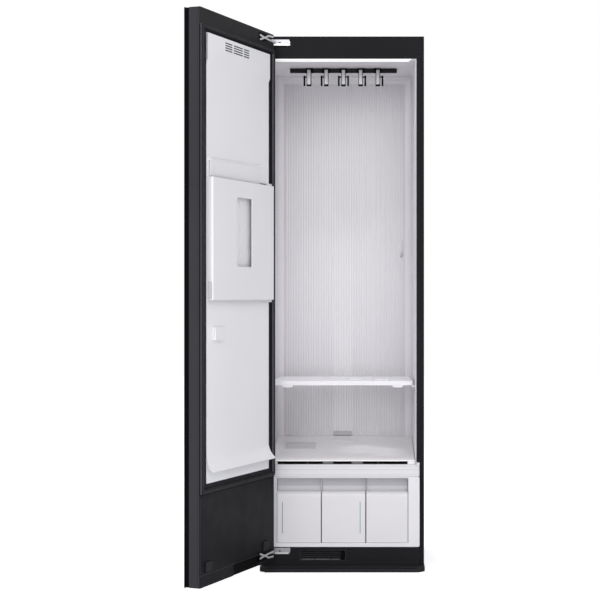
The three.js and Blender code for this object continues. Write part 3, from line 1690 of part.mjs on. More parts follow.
// The latch is a thumb slide in the panel's free flange, with a runner behind the flange.
function pressLatch() {
  const right = pressX[1];
  const outerX = right - press.wall / 2;
  const faceX = outerX - latch.thickness;
  const y = [over(latch.low), over(latch.high)];
  const thumb = prism('x', roundedRect(y, latchZ, press.wall), [faceX, outerX]);
  const behind = [right - press.wall - seat - press.wall / 2, right - press.wall - seat];
  const runner = block(behind, grow(y, -latch.clearance), grow(latchZ, press.wall));
  const web = block([behind[0], outerX], y, grow(latchZ, -press.wall * 2));
  const grip = block(
    [faceX + latch.thickness / 2, right],
    grow(y, -press.wall),
    about(middle(latchZ), latch.grip / 2),
  );
  return cut(join(thumb, runner, web), grip);
}

function hemClamp() {
  const base = over(inner.face + seat);
  const outline = polygon([
    [base, hemLow],
    [over(hem.rise), hemLow],
    [over(hem.rise + hem.thickness), hemLow + hem.curl],
    ...arc(over(hem.pinRise), hemPinZ, hem.bossRadius, -60, 240, 8),
    [over(hem.rise), hemLow + hem.curl],
    [base, hemLow + hem.curl / 2],
  ]);
  const flap = prism('x', outline, hemX);
  const reach = hem.earGap + hem.pinReach;
  return join(flap, rod('x', [over(hem.pinRise), hemPinZ], hem.pinRadius, grow(hemX, reach), 12));
}

function trouserClip() {
  const base = over(inner.face + seat);
  const top = over(clip.rise);
  const body = prism('y', roundedRect(clipX, clipZ, clip.corner), [base, top]);
  const mouth = block(
    grow(clipX, overrun),
    [top - clip.jaw - clip.groove, top - clip.jaw],
    [clipZ[0] - overrun, clipZ[1] - clip.corner],
  );
  return cut(body, mouth);
}

place(leaf, 'door_glass', doorGlass(), 'glass');
place(leaf, 'glass_carrier', glassCarrier(), 'blackPlastic');
place(leaf, 'door_frame', doorFrame(), 'greyFrame');
place(leaf, 'door_inner_cover', innerCover(), 'blackPlastic');
place(leaf, 'door_gasket', doorGasket(), 'rubber');
place(leaf, 'door_liner', doorLiner(), 'whitePlastic');
place(leaf, 'door_vent', doorVentGrille(), 'vent');
place(leaf, 'press_board', pressBoard(), 'whitePlastic');
place(leaf, 'press_panel', pressPanelSolid(), 'whitePlastic');
place(leaf, 'press_latch', pressLatch(), 'vent');
place(leaf, 'hem_clamp', hemClamp(), 'whitePlastic');
place(leaf, 'trouser_clip', trouserClip(), 'whitePlastic');

// Machine room behind the bay: heat pump, fan, steam generator, pump and controls

const compressor = {
  fromSide: 93,
  radius: 58,
  height: 150,
  dome: 24,
  footReach: 76,
  baseShare: 0.8,
};
// The dome's points, as shares of the can's radius and of the dome's height below the top.
const domeShares = [[0.86, 0.4], [0.5, 0.06]];
const coil = {
  frontGap: 42,
  backGap: 29,
  width: 70,
  height: 150,
  fins: 18,
  finShare: 0.45,
  spineShare: 0.17,
};
const coilLefts = [-110, -20];
const fan = {
  fromSide: 128,
  radius: 62,
  width: 46,
  blades: 12,
  blade: 2.2,
  bladeDepth: 12,
  hub: 9,
  shaft: 4,
  rim: 3,
  wall: 3,
  growth: 34,
  sweep: 270,
  room: 5,
  inletShare: 0.72,
  rise: 130,
};
const steamer = {
  fromSide: 48,
  width: 120,
  gap: 24,
  depth: 80,
  rise: 235,
  height: 70,
  corner: 12,
  lid: 4,
  pipeRadius: 6,
};
const pump = {
  x: 69,
  radius: 13,
  height: 60,
  collar: 3,
  port: 5,
  portReach: 26,
};
const controls = {
  fromSide: 28,
  width: 170,
  gap: 8,
  depth: 20,
  height: 90,
  corner: 4,
  ribs: 5,
  ribDepth: 3,
};
const roomMiddle = middle([bayBack, backInner]);
const compressorX = -shellInner + compressor.fromSide;
const fanX = shellInner - fan.fromSide;
const machineFloor = panFloor + seat;
const fanLow = machineFloor + fan.rise;

function compressorCan() {
  const { radius, height, dome } = compressor;
  const profile = [
    [0, 0],
    [radius * compressor.baseShare, 0],
    [radius, dome / 2],
    [radius, height - dome],
    ...domeShares.map(([out, below]) => [radius * out, height - dome * below]),
    [0, height],
  ];
  const can = revolve(profile, [compressorX, roomMiddle, machineFloor + sheet * 2], 24);
  const foot = compressor.footReach;
  const plate = prism(
    'z',
    roundedRect(about(compressorX, foot), about(roomMiddle, foot), dome / 2),
    [machineFloor, machineFloor + sheet * 3],
    3,
  );
  const stubZ = [machineFloor + height / 2, machineFloor + height + dome];
  const stub = rod('z', [compressorX + radius / 2, roomMiddle], sheet * 3, stubZ, 8);
  return join(can, plate, stub);
}

// A finned heat exchanger: a comb of plates joined by a slab along one side.
function finnedCoil(left) {
  const x = [left, left + coil.width];
  const y = [bayBack + coil.frontGap, backInner - coil.backGap];
  const z = [machineFloor, machineFloor + coil.height];
  const pitch = length(y) / coil.fins;
  const fin = pitch * coil.finShare;
  const spine = x[0] + length(x) * coil.spineShare;
  const outline = [[x[0], y[0]]];
  for (let i = 0; i < coil.fins; i += 1) {
    const from = y[0] + i * pitch;
    outline.push([x[1], from], [x[1], from + fin]);
    if (i < coil.fins - 1) outline.push([spine, from + fin], [spine, from + pitch]);
  }
  outline.push([x[0], y[0] + (coil.fins - 1) * pitch + fin]);
  return prism('z', polygon(outline), z);
}

// The scroll round the fan wheel widens steadily to its outlet.
function fanHousing() {
  const base = fan.radius + fan.room;
  const centre = [fanX, fanLow + base];
  const spiral = (extra, steps = 24) => {
    const points = [];
    for (let i = 0; i <= steps; i += 1) {
      const turn = quarterTurn + (radians(fan.sweep) * i) / steps;
      const radius = base + extra + (fan.growth * i) / steps;
      points.push([centre[0] + radius * Math.cos(turn), centre[1] + radius * Math.sin(turn)]);
    }
    return points;
  };
  const end = fanX + base + fan.growth;
  const top = fanLow + base * 2;
  const outlet = (wall, high) => [[end + wall, high], [fanX, high]];
  const outer = [...spiral(fan.wall), ...outlet(fan.wall, top + fan.wall)];
  const hollow = [...spiral(0), ...outlet(0, top + overrun)];
  const y = about(roomMiddle, fan.width / 2 + fan.room + fan.wall);
  const room = about(roomMiddle, fan.width / 2 + fan.room);
  const inlet = rod('y', centre, fan.radius * fan.inletShare, [y[0] - overrun, roomMiddle], 24);
  const shaftHole = rod('y', centre, fan.shaft + seat, [roomMiddle, y[1] + overrun], 12);
  const stand = block(
    about(fanX, fan.radius / 2),
    y,
    [machineFloor, fanLow - fan.growth / 2],
  );
  const scroll = join(prism('y', polygon(outer), y), stand);
  return cut(scroll, prism('y', polygon(hollow), room), inlet, shaftHole);
}

// The fan wheel: a back disc and a rim joined by forward-curved blades, on a shaft.
function fanWheel() {
  const y = about(roomMiddle, fan.width / 2);
  const centre = [fanX, fanLow + fan.radius + fan.room];
  const shaftEnd = roomMiddle + fan.width / 2 + fan.room + fan.wall + seat;
  const ringShape = withHole(disc(...centre, fan.radius), disc(...centre, fan.radius - fan.bladeDepth));
  let wheel = join(
    rod('y', centre, fan.radius, [y[1] - fan.rim, y[1]], 24),
    rod('y', centre, fan.hub, [roomMiddle, y[1]], 12),
    rod('y', centre, fan.shaft, [roomMiddle, shaftEnd], 12),
    prism('y', ringShape, [y[0], y[0] + fan.rim], 12),
  );
  for (let i = 0; i < fan.blades; i += 1) {
    const turn = (i / fan.blades) * Math.PI * 2;
    const at = (radius, ahead) => [
      centre[0] + radius * Math.cos(turn + ahead),
      centre[1] + radius * Math.sin(turn + ahead),
    ];
    const tip = fan.radius - seat;
    const root = fan.radius - fan.bladeDepth + seat;
    const lean = fan.bladeDepth / fan.radius;
    const thick = fan.blade / fan.radius;
    const blade = polygon([
      at(root, 0),
      at(middle([root, tip]), lean / 3),
      at(tip, lean),
      at(tip, lean + thick),
      at(middle([root, tip]), lean / 3 + thick),
      at(root, thick),
    ]);
    wheel = join(wheel, prism('y', blade, [y[0] + fan.rim / 2, y[1] - fan.rim / 2]));
  }
  return wheel;
}

function steamGenerator() {
  const { height, corner, lid } = steamer;
  const x = [-shellInner + steamer.fromSide, -shellInner + steamer.fromSide + steamer.width];
  const y = [bayBack + steamer.gap, bayBack + steamer.gap + steamer.depth];
  const low = machineFloor + steamer.rise;
  const vessel = prism('z', roundedRect(x, y, corner), [low, low + height]);
  const flangeShape = roundedRect(grow(x, lid), grow(y, lid), corner + lid);
  const flange = prism('z', flangeShape, about(low + height / 2, lid / 2), 4);
  const legs = [grow([x[0] + corner, x[0] + corner], lid), grow([x[1] - corner, x[1] - corner], lid)]
    .map((span) => block(span, [y[0] + corner - lid, y[0] + corner + lid], [machineFloor, low + lid]));
  const outlet = pipe([
    [middle(x), y[1] - corner, low + height / 2],
    [middle(x), y[1] + corner * 2, low + height],
    [middle(x) + corner, y[1] + corner * 3, low + height + corner * 3],
  ], steamer.pipeRadius, 8);
  return join(vessel, flange, ...legs, outlet);
}

function waterPump() {
  const top = machineFloor + pump.height;
  const centre = [pump.x, roomMiddle];
  const body = rod('z', centre, pump.radius, [machineFloor, top]);
  const collar = rod('z', centre, pump.radius + pump.collar, [machineFloor, machineFloor + pump.height / 4]);
  const ports = rod('y', [pump.x, top - pump.radius], pump.port, about(roomMiddle, pump.portReach), 8);
  return join(body, collar, ports);
}

function controlBox() {
  const heights = [machineFloor, machineFloor + controls.height];
  const right = shellInner - controls.fromSide;
  const x = [right - controls.width, right];
  const y = [bayBack + controls.gap, bayBack + controls.gap + controls.depth];
  let box = prism('y', roundedRect(x, heights, controls.corner), y);
  for (let i = 1; i <= controls.ribs; i += 1) {
    const centre = x[0] + (controls.width * i) / (controls.ribs + 1);
    const ribY = [y[1] - controls.corner / 2, y[1] + controls.ribDepth];
    box = join(box, block(about(centre, controls.ribDepth / 2), ribY, grow(heights, -controls.corner * 2)));
  }
  return box;
}

place(group, 'compressor', compressorCan(), 'blackSteel');
place(group, 'evaporator', finnedCoil(coilLefts[0]), 'galvanised');
place(group, 'condenser', finnedCoil(coilLefts[1]), 'copper');
place(group, 'fan_housing', fanHousing(), 'whitePlastic');
place(group, 'fan_impeller', fanWheel(), 'vent');
place(group, 'steam_generator', steamGenerator(), 'galvanised');
place(group, 'water_pump', waterPump(), 'blackPlastic');
place(group, 'control_box', controlBox(), 'greenBoard');

export default group;
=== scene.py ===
"""Looks of a clothes care steam cabinet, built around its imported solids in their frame, with Z up."""
import json
import logging
import math
from collections.abc import Callable, Iterable, Sequence
from dataclasses import dataclass, field
from enum import Enum

import bmesh
import bpy
from mathutils import Matrix, Vector

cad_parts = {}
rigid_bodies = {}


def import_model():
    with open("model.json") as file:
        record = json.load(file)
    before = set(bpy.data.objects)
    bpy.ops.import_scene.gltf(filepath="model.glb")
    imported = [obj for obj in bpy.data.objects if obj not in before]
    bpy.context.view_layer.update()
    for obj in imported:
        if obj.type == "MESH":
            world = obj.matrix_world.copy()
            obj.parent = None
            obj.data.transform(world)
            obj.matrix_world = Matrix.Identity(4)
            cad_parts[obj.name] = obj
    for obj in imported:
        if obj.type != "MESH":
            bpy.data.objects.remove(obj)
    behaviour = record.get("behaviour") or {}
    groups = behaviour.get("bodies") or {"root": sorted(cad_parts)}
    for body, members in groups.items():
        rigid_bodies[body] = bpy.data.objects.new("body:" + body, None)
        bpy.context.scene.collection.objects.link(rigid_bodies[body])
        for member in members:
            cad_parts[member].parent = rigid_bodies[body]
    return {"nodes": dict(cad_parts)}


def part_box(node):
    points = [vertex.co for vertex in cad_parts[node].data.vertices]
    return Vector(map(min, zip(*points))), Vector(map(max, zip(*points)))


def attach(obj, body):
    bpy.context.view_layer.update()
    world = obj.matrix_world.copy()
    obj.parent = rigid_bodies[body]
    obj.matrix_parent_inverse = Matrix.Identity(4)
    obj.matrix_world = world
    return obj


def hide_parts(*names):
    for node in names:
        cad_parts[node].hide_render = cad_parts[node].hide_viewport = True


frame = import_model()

LOG = logging.getLogger("steam_cabinet")
MM = 0.001
PIVOT = Vector((-0.291, -0.053, 0.0))  # the door's hinge, in metres
DOOR_OPEN = math.radians(110.5)
DOOR_FACE = -10.0  # the shut door's inner face, in millimetres

Socket = bpy.types.NodeSocket
Piece = bpy.types.Object
Point = tuple[float, float, float]
Span = tuple[float, float]
Box = tuple[Span, Span, Span]
Relief = tuple[float, float, float, float]  # a noise's scale per metre and detail, strength, depth in metres

WHOLE: Span = (0.0, 1.0)
MIDDLE: Span = (0.3, 0.7)  # where nearly all of a noise's values lie


def linear(written: int) -> tuple[float, ...]:
    """Turns a written colour into the linear values that a shader socket takes.

    Args:
        written: The colour as 0xRRGGBB.

    Returns:
        Linear red, green, blue and an alpha of 1.
    """
    parts = [(written >> shift & 255) / 255 for shift in (16, 8, 0)]
    return (*(c / 12.92 if c <= 0.04045 else ((c + 0.055) / 1.055) ** 2.4 for c in parts), 1.0)


def around(middle: float, half: float) -> Span:
    """The span that reaches as far to each side of its middle."""
    return (middle - half, middle + half)


class Axis(Enum):
    """A direction of the shared frame."""

    X = 0
    Y = 1
    Z = 2


class Body(Enum):
    """The moving and fixed bodies that pieces ride on."""

    CABINET = "cabinet"
    DOOR = "door"
    PRESS = "press"
    LATCH = "latch"
    HEM_FLAP = "hem_flap"
    MOVING_BAR = "moving_bar"
    HOLDER_1 = "holder_1"
    HOLDER_2 = "holder_2"
    HOLDER_3 = "holder_3"
    HOLDER_4 = "holder_4"
    HOLDER_5 = "holder_5"
    FILL_TANK = "fill_tank_unit"
    DRAIN_TANK = "drain_tank_unit"
    DRAWER = "drawer_unit"
    FILTER = "filter"
    SHELF = "shelf_board"
    FAN = "fan_wheel"


class Slot(Enum):
    """The record's material slots."""

    BLACK_STEEL = "black_steel"
    GREY_STEEL = "grey_steel"
    ZINC = "galvanised_steel"
    SILVER = "silver_metal"
    FINS = "aluminium_fins"
    BLACK_PLASTIC = "black_plastic"
    WHITE_PLASTIC = "white_plastic"
    LINER = "liner_plastic"
    GREY_PLASTIC = "grey_plastic"
    LIGHT = "light_diffuser"
    RUBBER = "black_rubber"
    GLASS = "dark_glass"


# Finishes


class Nodes:
    """Adds and joins the nodes of one tree."""

    def __init__(self, tree: bpy.types.NodeTree) -> None:
        """Keeps the tree that the nodes go into."""
        self.tree = tree

    def add(self, kind: str, **values: object) -> bpy.types.Node:
        """Adds a node and sets its properties, or its inputs where no property has the name.

        Args:
            kind: The node's type, after the word ShaderNode.
            **values: Properties, or inputs in small letters with _ for a space.

        Returns:
            The node.
        """
        node = self.tree.nodes.new("ShaderNode" + kind)
        for key, value in values.items():
            if hasattr(node, key):
                setattr(node, key, value)
            else:
                node.inputs[key.replace("_", " ").title()].default_value = value
        return node

    def link(self, source: Socket, target: Socket) -> None:
        """Joins an output to an input."""
        self.tree.links.new(source, target)

    def ramp(self, value: Socket, source: Span, target: Span) -> Socket:
        """Moves a value from one range to another and holds it there.

        Args:
            value: The value.
            source: The range that it comes from.
            target: The range that it goes to.

        Returns:
            The moved value.
        """
        (low, high), (least, most) = source, target
        node = self.add("MapRange", from_min=low, from_max=high, to_min=least, to_max=most)
        self.link(value, node.inputs["Value"])
        return node.outputs["Result"]


class ShaderBench(Nodes):
    """Builds one material round a Principled shader on Object coordinates."""

    def __init__(self, name: str) -> None:
        """Starts a material with an empty Principled shader.

        Args:
            name: The material's name.
        """
        self.material = bpy.data.materials.new(name)
        self.material.use_nodes = True
        super().__init__(self.material.node_tree)
        self.shader = self.tree.nodes["Principled BSDF"]
        self.place = self.add("TexCoord").outputs["Object"]
        self.height: Socket | None = None

    def fixed(self, **values: object) -> None:
        """Sets the shader's own sockets.

        Args:
            **values: The sockets, in small letters with _ for a space.
        """
        sockets = {socket.name.lower().replace(" ", "_"): socket for socket in self.shader.inputs}
        for key, value in values.items():
            sockets[key].default_value = value

    def pattern(self, node: bpy.types.Node, output: str = "Fac", at: Socket | None = None) -> Socket:
        """Lays a pattern on the object.

        Args:
            node: The pattern's node.
            output: Which of its outputs is wanted.
            at: Where it is read, or None for the object's own place.

        Returns:
            The output.
        """
        self.link(at or self.place, node.inputs["Vector"])
        return node.outputs[output]

    def noise(self, scale: float, detail: float, at: Socket | None = None) -> Socket:
        """A noise pattern's value, by its scale per metre and its detail."""
        return self.pattern(self.add("TexNoise", scale=scale, detail=detail), at=at)

    def waves(self, scale: float, way: Axis) -> Socket:
        """A wave pattern's value, by its scale per metre and the way it runs."""
        return self.pattern(self.add("TexWave", scale=scale, bands_direction=way.name))

    def over(self, share: Socket, under: Socket | int, upper: Socket | int) -> Socket:
        """Lays a colour over another.

        Args:
            share: How much of the upper one shows.
            under: The lower one, a written colour or a pattern.
            upper: The upper one, a written colour or a pattern.

        Returns:
            The colour.
        """
        node = self.add("Mix", data_type="RGBA")
        self.link(share, node.inputs[0])
        for socket, value in zip((s for s in node.inputs if s.type == "RGBA"), (under, upper)):
            if isinstance(value, int):
                socket.default_value = linear(value)
            else:
                self.link(value, socket)
        return next(socket for socket in node.outputs if socket.type == "RGBA")

    def into(self, name: str, value: Socket) -> None:
        """Links a pattern to one of the shader's sockets."""
        self.link(value, self.shader.inputs[name])

    def gloss(self, value: Socket, rough: Span, source: Span = MIDDLE) -> None:
        """Lets a pattern's value, over its own range, move the roughness between two values."""
        self.into("Roughness", self.ramp(value, source, rough))

    def bump(self, height: Socket, strength: float, depth: float) -> None:
        """Adds a bump on top of those already there.

        Args:
            height: The pattern of its height.
            strength: Its strength.
            depth: Its depth in metres.
        """
        node = self.add("Bump", strength=strength, distance=depth)
        self.link(height, node.inputs["Height"])
        if self.height is not None:
            self.link(self.height, node.inputs["Normal"])
        self.height = node.outputs["Normal"]
        self.into("Normal", self.height)


@dataclass(frozen=True)
class Finish:
    """A finish with a name, a colour, a second colour that it drifts towards and its slot."""

    name: str
    colour: int
    drift: int
    slot: Slot = Slot.GREY_PLASTIC

    def material(self) -> bpy.types.Material:
        """Makes the finish's material, once.

        Returns:
            The material.
        """
        if self.name not in bpy.data.materials:
            self.build(ShaderBench(self.name))
        return bpy.data.materials[self.name]

    def build(self, bench: ShaderBench) -> None:
        """Fills in the nodes of a slow drift of colour."""
        self.tint(bench, bench.noise(3.0, 3.0))

    def tint(self, bench: ShaderBench, value: Socket, source: Span = MIDDLE) -> None:
        """Colours the surface by a pattern's value, over its own range."""
        bench.into("Base Color", bench.over(bench.ramp(value, source, WHOLE), self.colour, self.drift))


@dataclass(frozen=True)
class Coating(Finish):
    """A finish that isn't metal, with uneven gloss and a relief in layers."""

    rough: Span = (0.36, 0.46)
    gloss: float = 0.2
    ior: float = 1.5
    cloud: Span = (9.0, 4.0)  # the gloss's noise, its scale per metre and its detail
    relief: tuple[Relief, ...] = ()

    def build(self, bench: ShaderBench) -> None:
        """Colour drift, uneven gloss and the relief.

        Args:
            bench: The material's bench.
        """
        super().build(bench)
        bench.fixed(metallic=0.0, ior=self.ior, specular_ior_level=self.gloss)
        bench.gloss(bench.noise(*self.cloud), self.rough)
        for scale, detail, strength, depth in self.relief:
            bench.bump(bench.noise(scale, detail), strength, depth)


@dataclass(frozen=True)
class PowderCoat(Coating):
    """Baked powder coat on steel, with a fine orange peel and a finer grain."""

    slot: Slot = Slot.BLACK_STEEL
    relief: tuple[Relief, ...] = ((420.0, 2.0, 0.16, 0.00025), (2600.0, 1.0, 0.096, 0.00008))


@dataclass(frozen=True)
class Moulding(Coating):
    """Moulded plastic with a fine eroded grain and very shallow waves."""

    rough: Span = (0.34, 0.46)
    gloss: float = 0.5
    ior: float = 1.49
    cloud: Span = (14.0, 3.0)
    relief: tuple[Relief, ...] = ((1900.0, 2.0, 0.14, 0.0001), (6.0, 2.0, 0.12, 0.0012))
    depth: float = 0.0  # how much light goes into it
    reach: Point = (0.004, 0.004, 0.0045)  # how far, in metres, for red, green and blue

    def build(self, bench: ShaderBench) -> None:
        """The coating's nodes, and light that goes into the plastic.

        Args:
            bench: The material's bench.
        """
        super().build(bench)
        if self.depth:
            bench.fixed(subsurface_weight=self.depth, subsurface_radius=self.reach, subsurface_scale=1.0)


@dataclass(frozen=True)
class BlackMoulding(Moulding):
    """Black plastic with a coarser grain and little gloss."""

    slot: Slot = Slot.BLACK_PLASTIC
    rough: Span = (0.42, 0.52)
    gloss: float = 0.07
    relief: tuple[Relief, ...] = ((1900.0, 2.0, 0.2, 0.0001), (6.0, 2.0, 0.12, 0.0012))


@dataclass(frozen=True)
class WhiteMoulding(Moulding):
    """White plastic that takes in a little light."""

    slot: Slot = Slot.WHITE_PLASTIC
    depth: float = 0.05


@dataclass(frozen=True)
class TwoShotMoulding(Moulding):
    """A moulding whose recessed parts, behind a depth, are of a second plastic, with painted shade laid over
    them in steps by height.
    """

    recess_colour: int = 0xD2D1D5
    behind: float = 0.0215
    steps: tuple[tuple[float, int], ...] = ()  # heights in metres, and the painted shade's colour above each, laid over the second plastic

    def build(self, bench: ShaderBench) -> None:
        """The moulding's nodes, with the second colour behind its depth and painted shade over it in steps by
        height.

        Args:
            bench: The material's bench.
        """
        super().build(bench)
        ease = MM / 4
        split = bench.add("SeparateXYZ")
        bench.link(bench.place, split.inputs["Vector"])
        recess: Socket | int = self.recess_colour
        # each step lays its painted shade over the recess colour above its height
        for height, colour in self.steps:
            above = bench.ramp(split.outputs["Z"], (height - ease, height + ease), WHOLE)
            recess = bench.over(above, recess, colour)
        share = bench.ramp(split.outputs["Y"], (self.behind - ease, self.behind), WHOLE)
        face = bench.shader.inputs["Base Color"].links[0].from_socket
        bench.into("Base Color", bench.over(share, face, recess))


@dataclass(frozen=True)
class Net(Moulding):
    """A woven filter net, its two runs of thread crossing."""

    slot: Slot = Slot.BLACK_PLASTIC
    threads: float = 400.0  # their scale per metre

    def build(self, bench: ShaderBench) -> None:
        """The moulding's nodes, with threads along and across.

        Args:
            bench: The material's bench.
        """
        super().build(bench)
        for way in (Axis.X, Axis.Y):
            bench.bump(bench.waves(self.threads, way), 0.5, 0.0003)


@dataclass(frozen=True)
class Rubber(Coating):
    """Soft black rubber with a dry bloom."""

    slot: Slot = Slot.RUBBER
    rough: Span = (0.58, 0.78)
    ior: float = 1.45
    cloud: Span = (40.0, 3.0)
    relief: tuple[Relief, ...] = ((1500.0, 2.0, 0.2, 0.0001),)


@dataclass(frozen=True)
class BackPaintedGlass(Coating):
    """Clear glass painted black from behind."""

    slot: Slot = Slot.GLASS
    rough: Span = (0.06, 0.12)
    gloss: float = 0.1
    ior: float = 1.52
    cloud: Span = (5.0, 3.0)
    relief: tuple[Relief, ...] = ((1.6, 1.0, 0.05, 0.002),)


@dataclass(frozen=True)
class Brushed(Finish):
    """Metal with fine brush lines along one axis."""

    slot: Slot = Slot.SILVER
    along: Axis = Axis.X
    rough: Span = (0.24, 0.38)
    metal: float = 1.0
    lines: float = 1400.0  # their scale per metre
    stretch: float = 0.012  # their scale along the axis against that across it

    def build(self, bench: ShaderBench) -> None:
        """Brush lines in colour, gloss and relief.

        Args:
            bench: The material's bench.
        """
        bench.fixed(metallic=self.metal, anisotropic=0.35)
        drawn = bench.add("Mapping")
        drawn.inputs["Scale"].default_value[self.along.value] = self.stretch
        lines = bench.noise(self.lines, 3.0, bench.pattern(drawn, "Vector"))
        self.tint(bench, lines)
        bench.gloss(lines, self.rough)
        bench.bump(lines, 0.12, 0.00006)


@dataclass(frozen=True)
class Zinc(Finish):
    """Galvanised sheet with its spangle."""

    slot: Slot = Slot.ZINC
    spangle: float = 75.0  # its scale per metre

    def build(self, bench: ShaderBench) -> None:
        """Flat crystals of unlike tone and gloss.

        Args:
            bench: The material's bench.
        """
        bench.fixed(metallic=0.9)
        tone = bench.add("SeparateColor")
        crystals = bench.add("TexVoronoi", scale=self.spangle, feature="F1")
        bench.link(bench.pattern(crystals, "Color"), tone.inputs["Color"])
        self.tint(bench, tone.outputs["Red"], (0.1, 0.9))
        bench.gloss(tone.outputs["Green"], (0.36, 0.56), WHOLE)
        bench.bump(bench.noise(260.0, 2.0), 0.08, 0.0002)


@dataclass(frozen=True)
class Diffuser(Finish):
    """A frosted lens lit from behind, with fine prisms across it."""

    slot: Slot = Slot.LIGHT
    glow: float = 0.4
    prisms: float = 120.0  # their scale per metre

    def build(self, bench: ShaderBench) -> None:
        """A soft white glow and prism relief.

        Args:
            bench: The material's bench.
        """
        super().build(bench)
        bench.fixed(roughness=0.35, emission_color=(1.0, 0.995, 0.98, 1.0), emission_strength=self.glow)
        bench.bump(bench.waves(self.prisms, Axis.X), 0.3, 0.0003)


@dataclass(frozen=True)
class Fins(Finish):
    """Coil fins, with their edges' fine lines and some haze."""

    slot: Slot = Slot.FINS
    fins: float = 220.0  # their scale per metre

    def build(self, bench: ShaderBench) -> None:
        """Metal whose tone drifts with the haze.

        Args:
            bench: The material's bench.
        """
        super().build(bench)
        bench.fixed(metallic=0.9)
        bench.gloss(bench.noise(60.0, 3.0), (0.3, 0.5))
        bench.bump(bench.waves(self.fins, Axis.Z), 0.25, 0.0003)


BLACK_COAT = PowderCoat("black_powder_coat", 0x18181B, 0x1C1C1F, gloss=0.06)
EDGE_GREY = PowderCoat("door_edge_grey", 0x313034, 0x37363A, Slot.GREY_STEEL, rough=(0.34, 0.44), gloss=0.15)
BLACK_MOULD = BlackMoulding("black_moulding", 0x1C1C1F, 0x202023)
DOOR_BLACK = BlackMoulding("door_cover_black", 0x1B1B1E, 0x1F1E21, rough=(0.4, 0.5), gloss=0.06)
# Near black: the black plastic of the holders, sleeves, clips and filter cassette, and painted shade in the
# hinge wells, the intake's end, the plinth's groove, the vent's slots and the door's scoop.
BLACK_AND_SHADE = BlackMoulding("recess_black", 0x070708, 0x0A0A0B, rough=(0.5, 0.6), gloss=0.03)
GLASS_BACK = BlackMoulding("glass_carrier_black", 0x08080A, 0x0C0C0E, rough=(0.4, 0.5), gloss=0.03)
PLINTH_BLACK = BlackMoulding("plinth_black", 0x232326, 0x27272A, gloss=0.08)
GRILLE_BLACK = BlackMoulding("grille_black", 0x2B2B2E, 0x303033, gloss=0.1)
RIM_GREY = Moulding("cover_rim_grey", 0x353539, 0x3A3A3E, Slot.BLACK_PLASTIC, rough=(0.4, 0.5), gloss=0.2)
WHITE_MOULD = WhiteMoulding("white_moulding", 0xDCDBDF, 0xE0DFE3)
SILL_WHITE = WhiteMoulding("sill_white", 0xD6D5D9, 0xDAD9DD)
SHELF_WHITE = WhiteMoulding("shelf_white", 0xE3E2E6, 0xE7E6EA)
TRAY_WHITE = WhiteMoulding("tray_white", 0xF5F3F5, 0xF7F5F7, rough=(0.3, 0.4))
PRESS_WHITE = WhiteMoulding("press_white", 0xE7E6EA, 0xEAEAED, rough=(0.3, 0.4))
DOOR_WHITE = WhiteMoulding("door_liner_white", 0xEAEAEE, 0xEDEDF1)
# Above 0.3035 m the recessed band is darker grey, partly the tank's grey plastic and partly painted shade;
# above 0.3312 m it is a painted shadow of the gap under the bay frame.
FRONT_WHITE = TwoShotMoulding("tank_front_two_shot", 0xD7D5D9, 0xDBD9DD, Slot.WHITE_PLASTIC,
                              steps=((0.3035, 0xBBBAC0), (0.3312, 0x7C7B80)))
LINER_GREY = TwoShotMoulding("chamber_liner_grey", 0xB6B5BA, 0xBAB9BE, Slot.LINER, rough=(0.38, 0.5),
                             recess_colour=0xE3E1E5, behind=0.0035)
COVE_GREY = Moulding("chamber_cove_grey", 0xDAD8DC, 0xDEDCE0, Slot.LINER, rough=(0.38, 0.5))
# The ribbed wall is of the liner's white plastic, made darker as painted shade on the back wall.
RIB_PAINTED_SHADE = Moulding("ribbed_wall_grey", 0xD5D3D7, 0xD9D7DB, Slot.LINER)
VENT_GREY = Moulding("vent_grey", 0xB2B0B4, 0xB6B4B8, rough=(0.4, 0.5))
LOUVRE_GREY = Moulding("tray_louvre_grey", 0xCFCDD1, 0xD4D2D6, rough=(0.4, 0.5))
GRIP_GREY = Moulding("filter_grip_grey", 0x56565A, 0x5E5E62, rough=(0.4, 0.5))
TANK_GREY = Moulding("tank_grey", 0xB9B9BE, 0xC0C0C5, rough=(0.25, 0.38), depth=0.1)
WINDOW_GREY = Moulding("level_window_grey", 0x8C8C91, 0x949499, rough=(0.1, 0.2))
WINDOW_GREEN = Moulding("level_window_green", 0x86A8A2, 0x8DB0AA, rough=(0.1, 0.2))
# painted shadow in the gap round the bay's mouth
GAP_SHADOW_GREY = Moulding("parting_line_grey", 0x7C7B80, 0x84838A)
SHADE_GREY = Moulding("sill_line_grey", 0xACABAF, 0xB2B1B5)
CONTROL_GREY = Moulding("control_grey", 0x8A8C90, 0x808286)
FILTER_NET = Net("filter_net_grey", 0x3A3A3E, 0x444448, rough=(0.5, 0.6))
RUBBER = Rubber("black_rubber_soft", 0x252528, 0x29292C)
PAD_GREY = Rubber("bumper_grey", 0x232326, 0x27272A)
GASKET_HIGHLIGHT_GREY = Rubber("gasket_line_grey", 0x56565B, 0x5E5E63)
# a lighter line along the gasket's crown, as its painted highlight
GLASS = BackPaintedGlass("black_glass", 0x050506, 0x070708)
SILVER_X = Brushed("brushed_silver", 0xA4A4A8, 0x96969A)
SILVER_Z = Brushed("brushed_silver_upright", 0x9E9EA1, 0x8E8E92, along=Axis.Z, rough=(0.34, 0.46))
POLISHED = Brushed("polished_lip", 0xE4E4E7, 0xDADADE, rough=(0.16, 0.24))
LINK_STEEL = Brushed("link_steel", 0xD2D2D6, 0xB8B8BC, rough=(0.26, 0.38), metal=0.3)
SCREW_STEEL = Brushed("dark_screw", 0x3C3C40, 0x2C2C30)
ZINC = Zinc("spangled_zinc", 0xA4A6AA, 0x8E9095)
LIGHT = Diffuser("lit_diffuser", 0xE6E6E8, 0xEAEAEC)
COIL_ALUMINIUM = Fins("coil_aluminium", 0xB2B4B8, 0x9EA0A4)
COIL_COPPER = Fins("coil_copper", 0xB87A50, 0x9C6440)


# Modelling


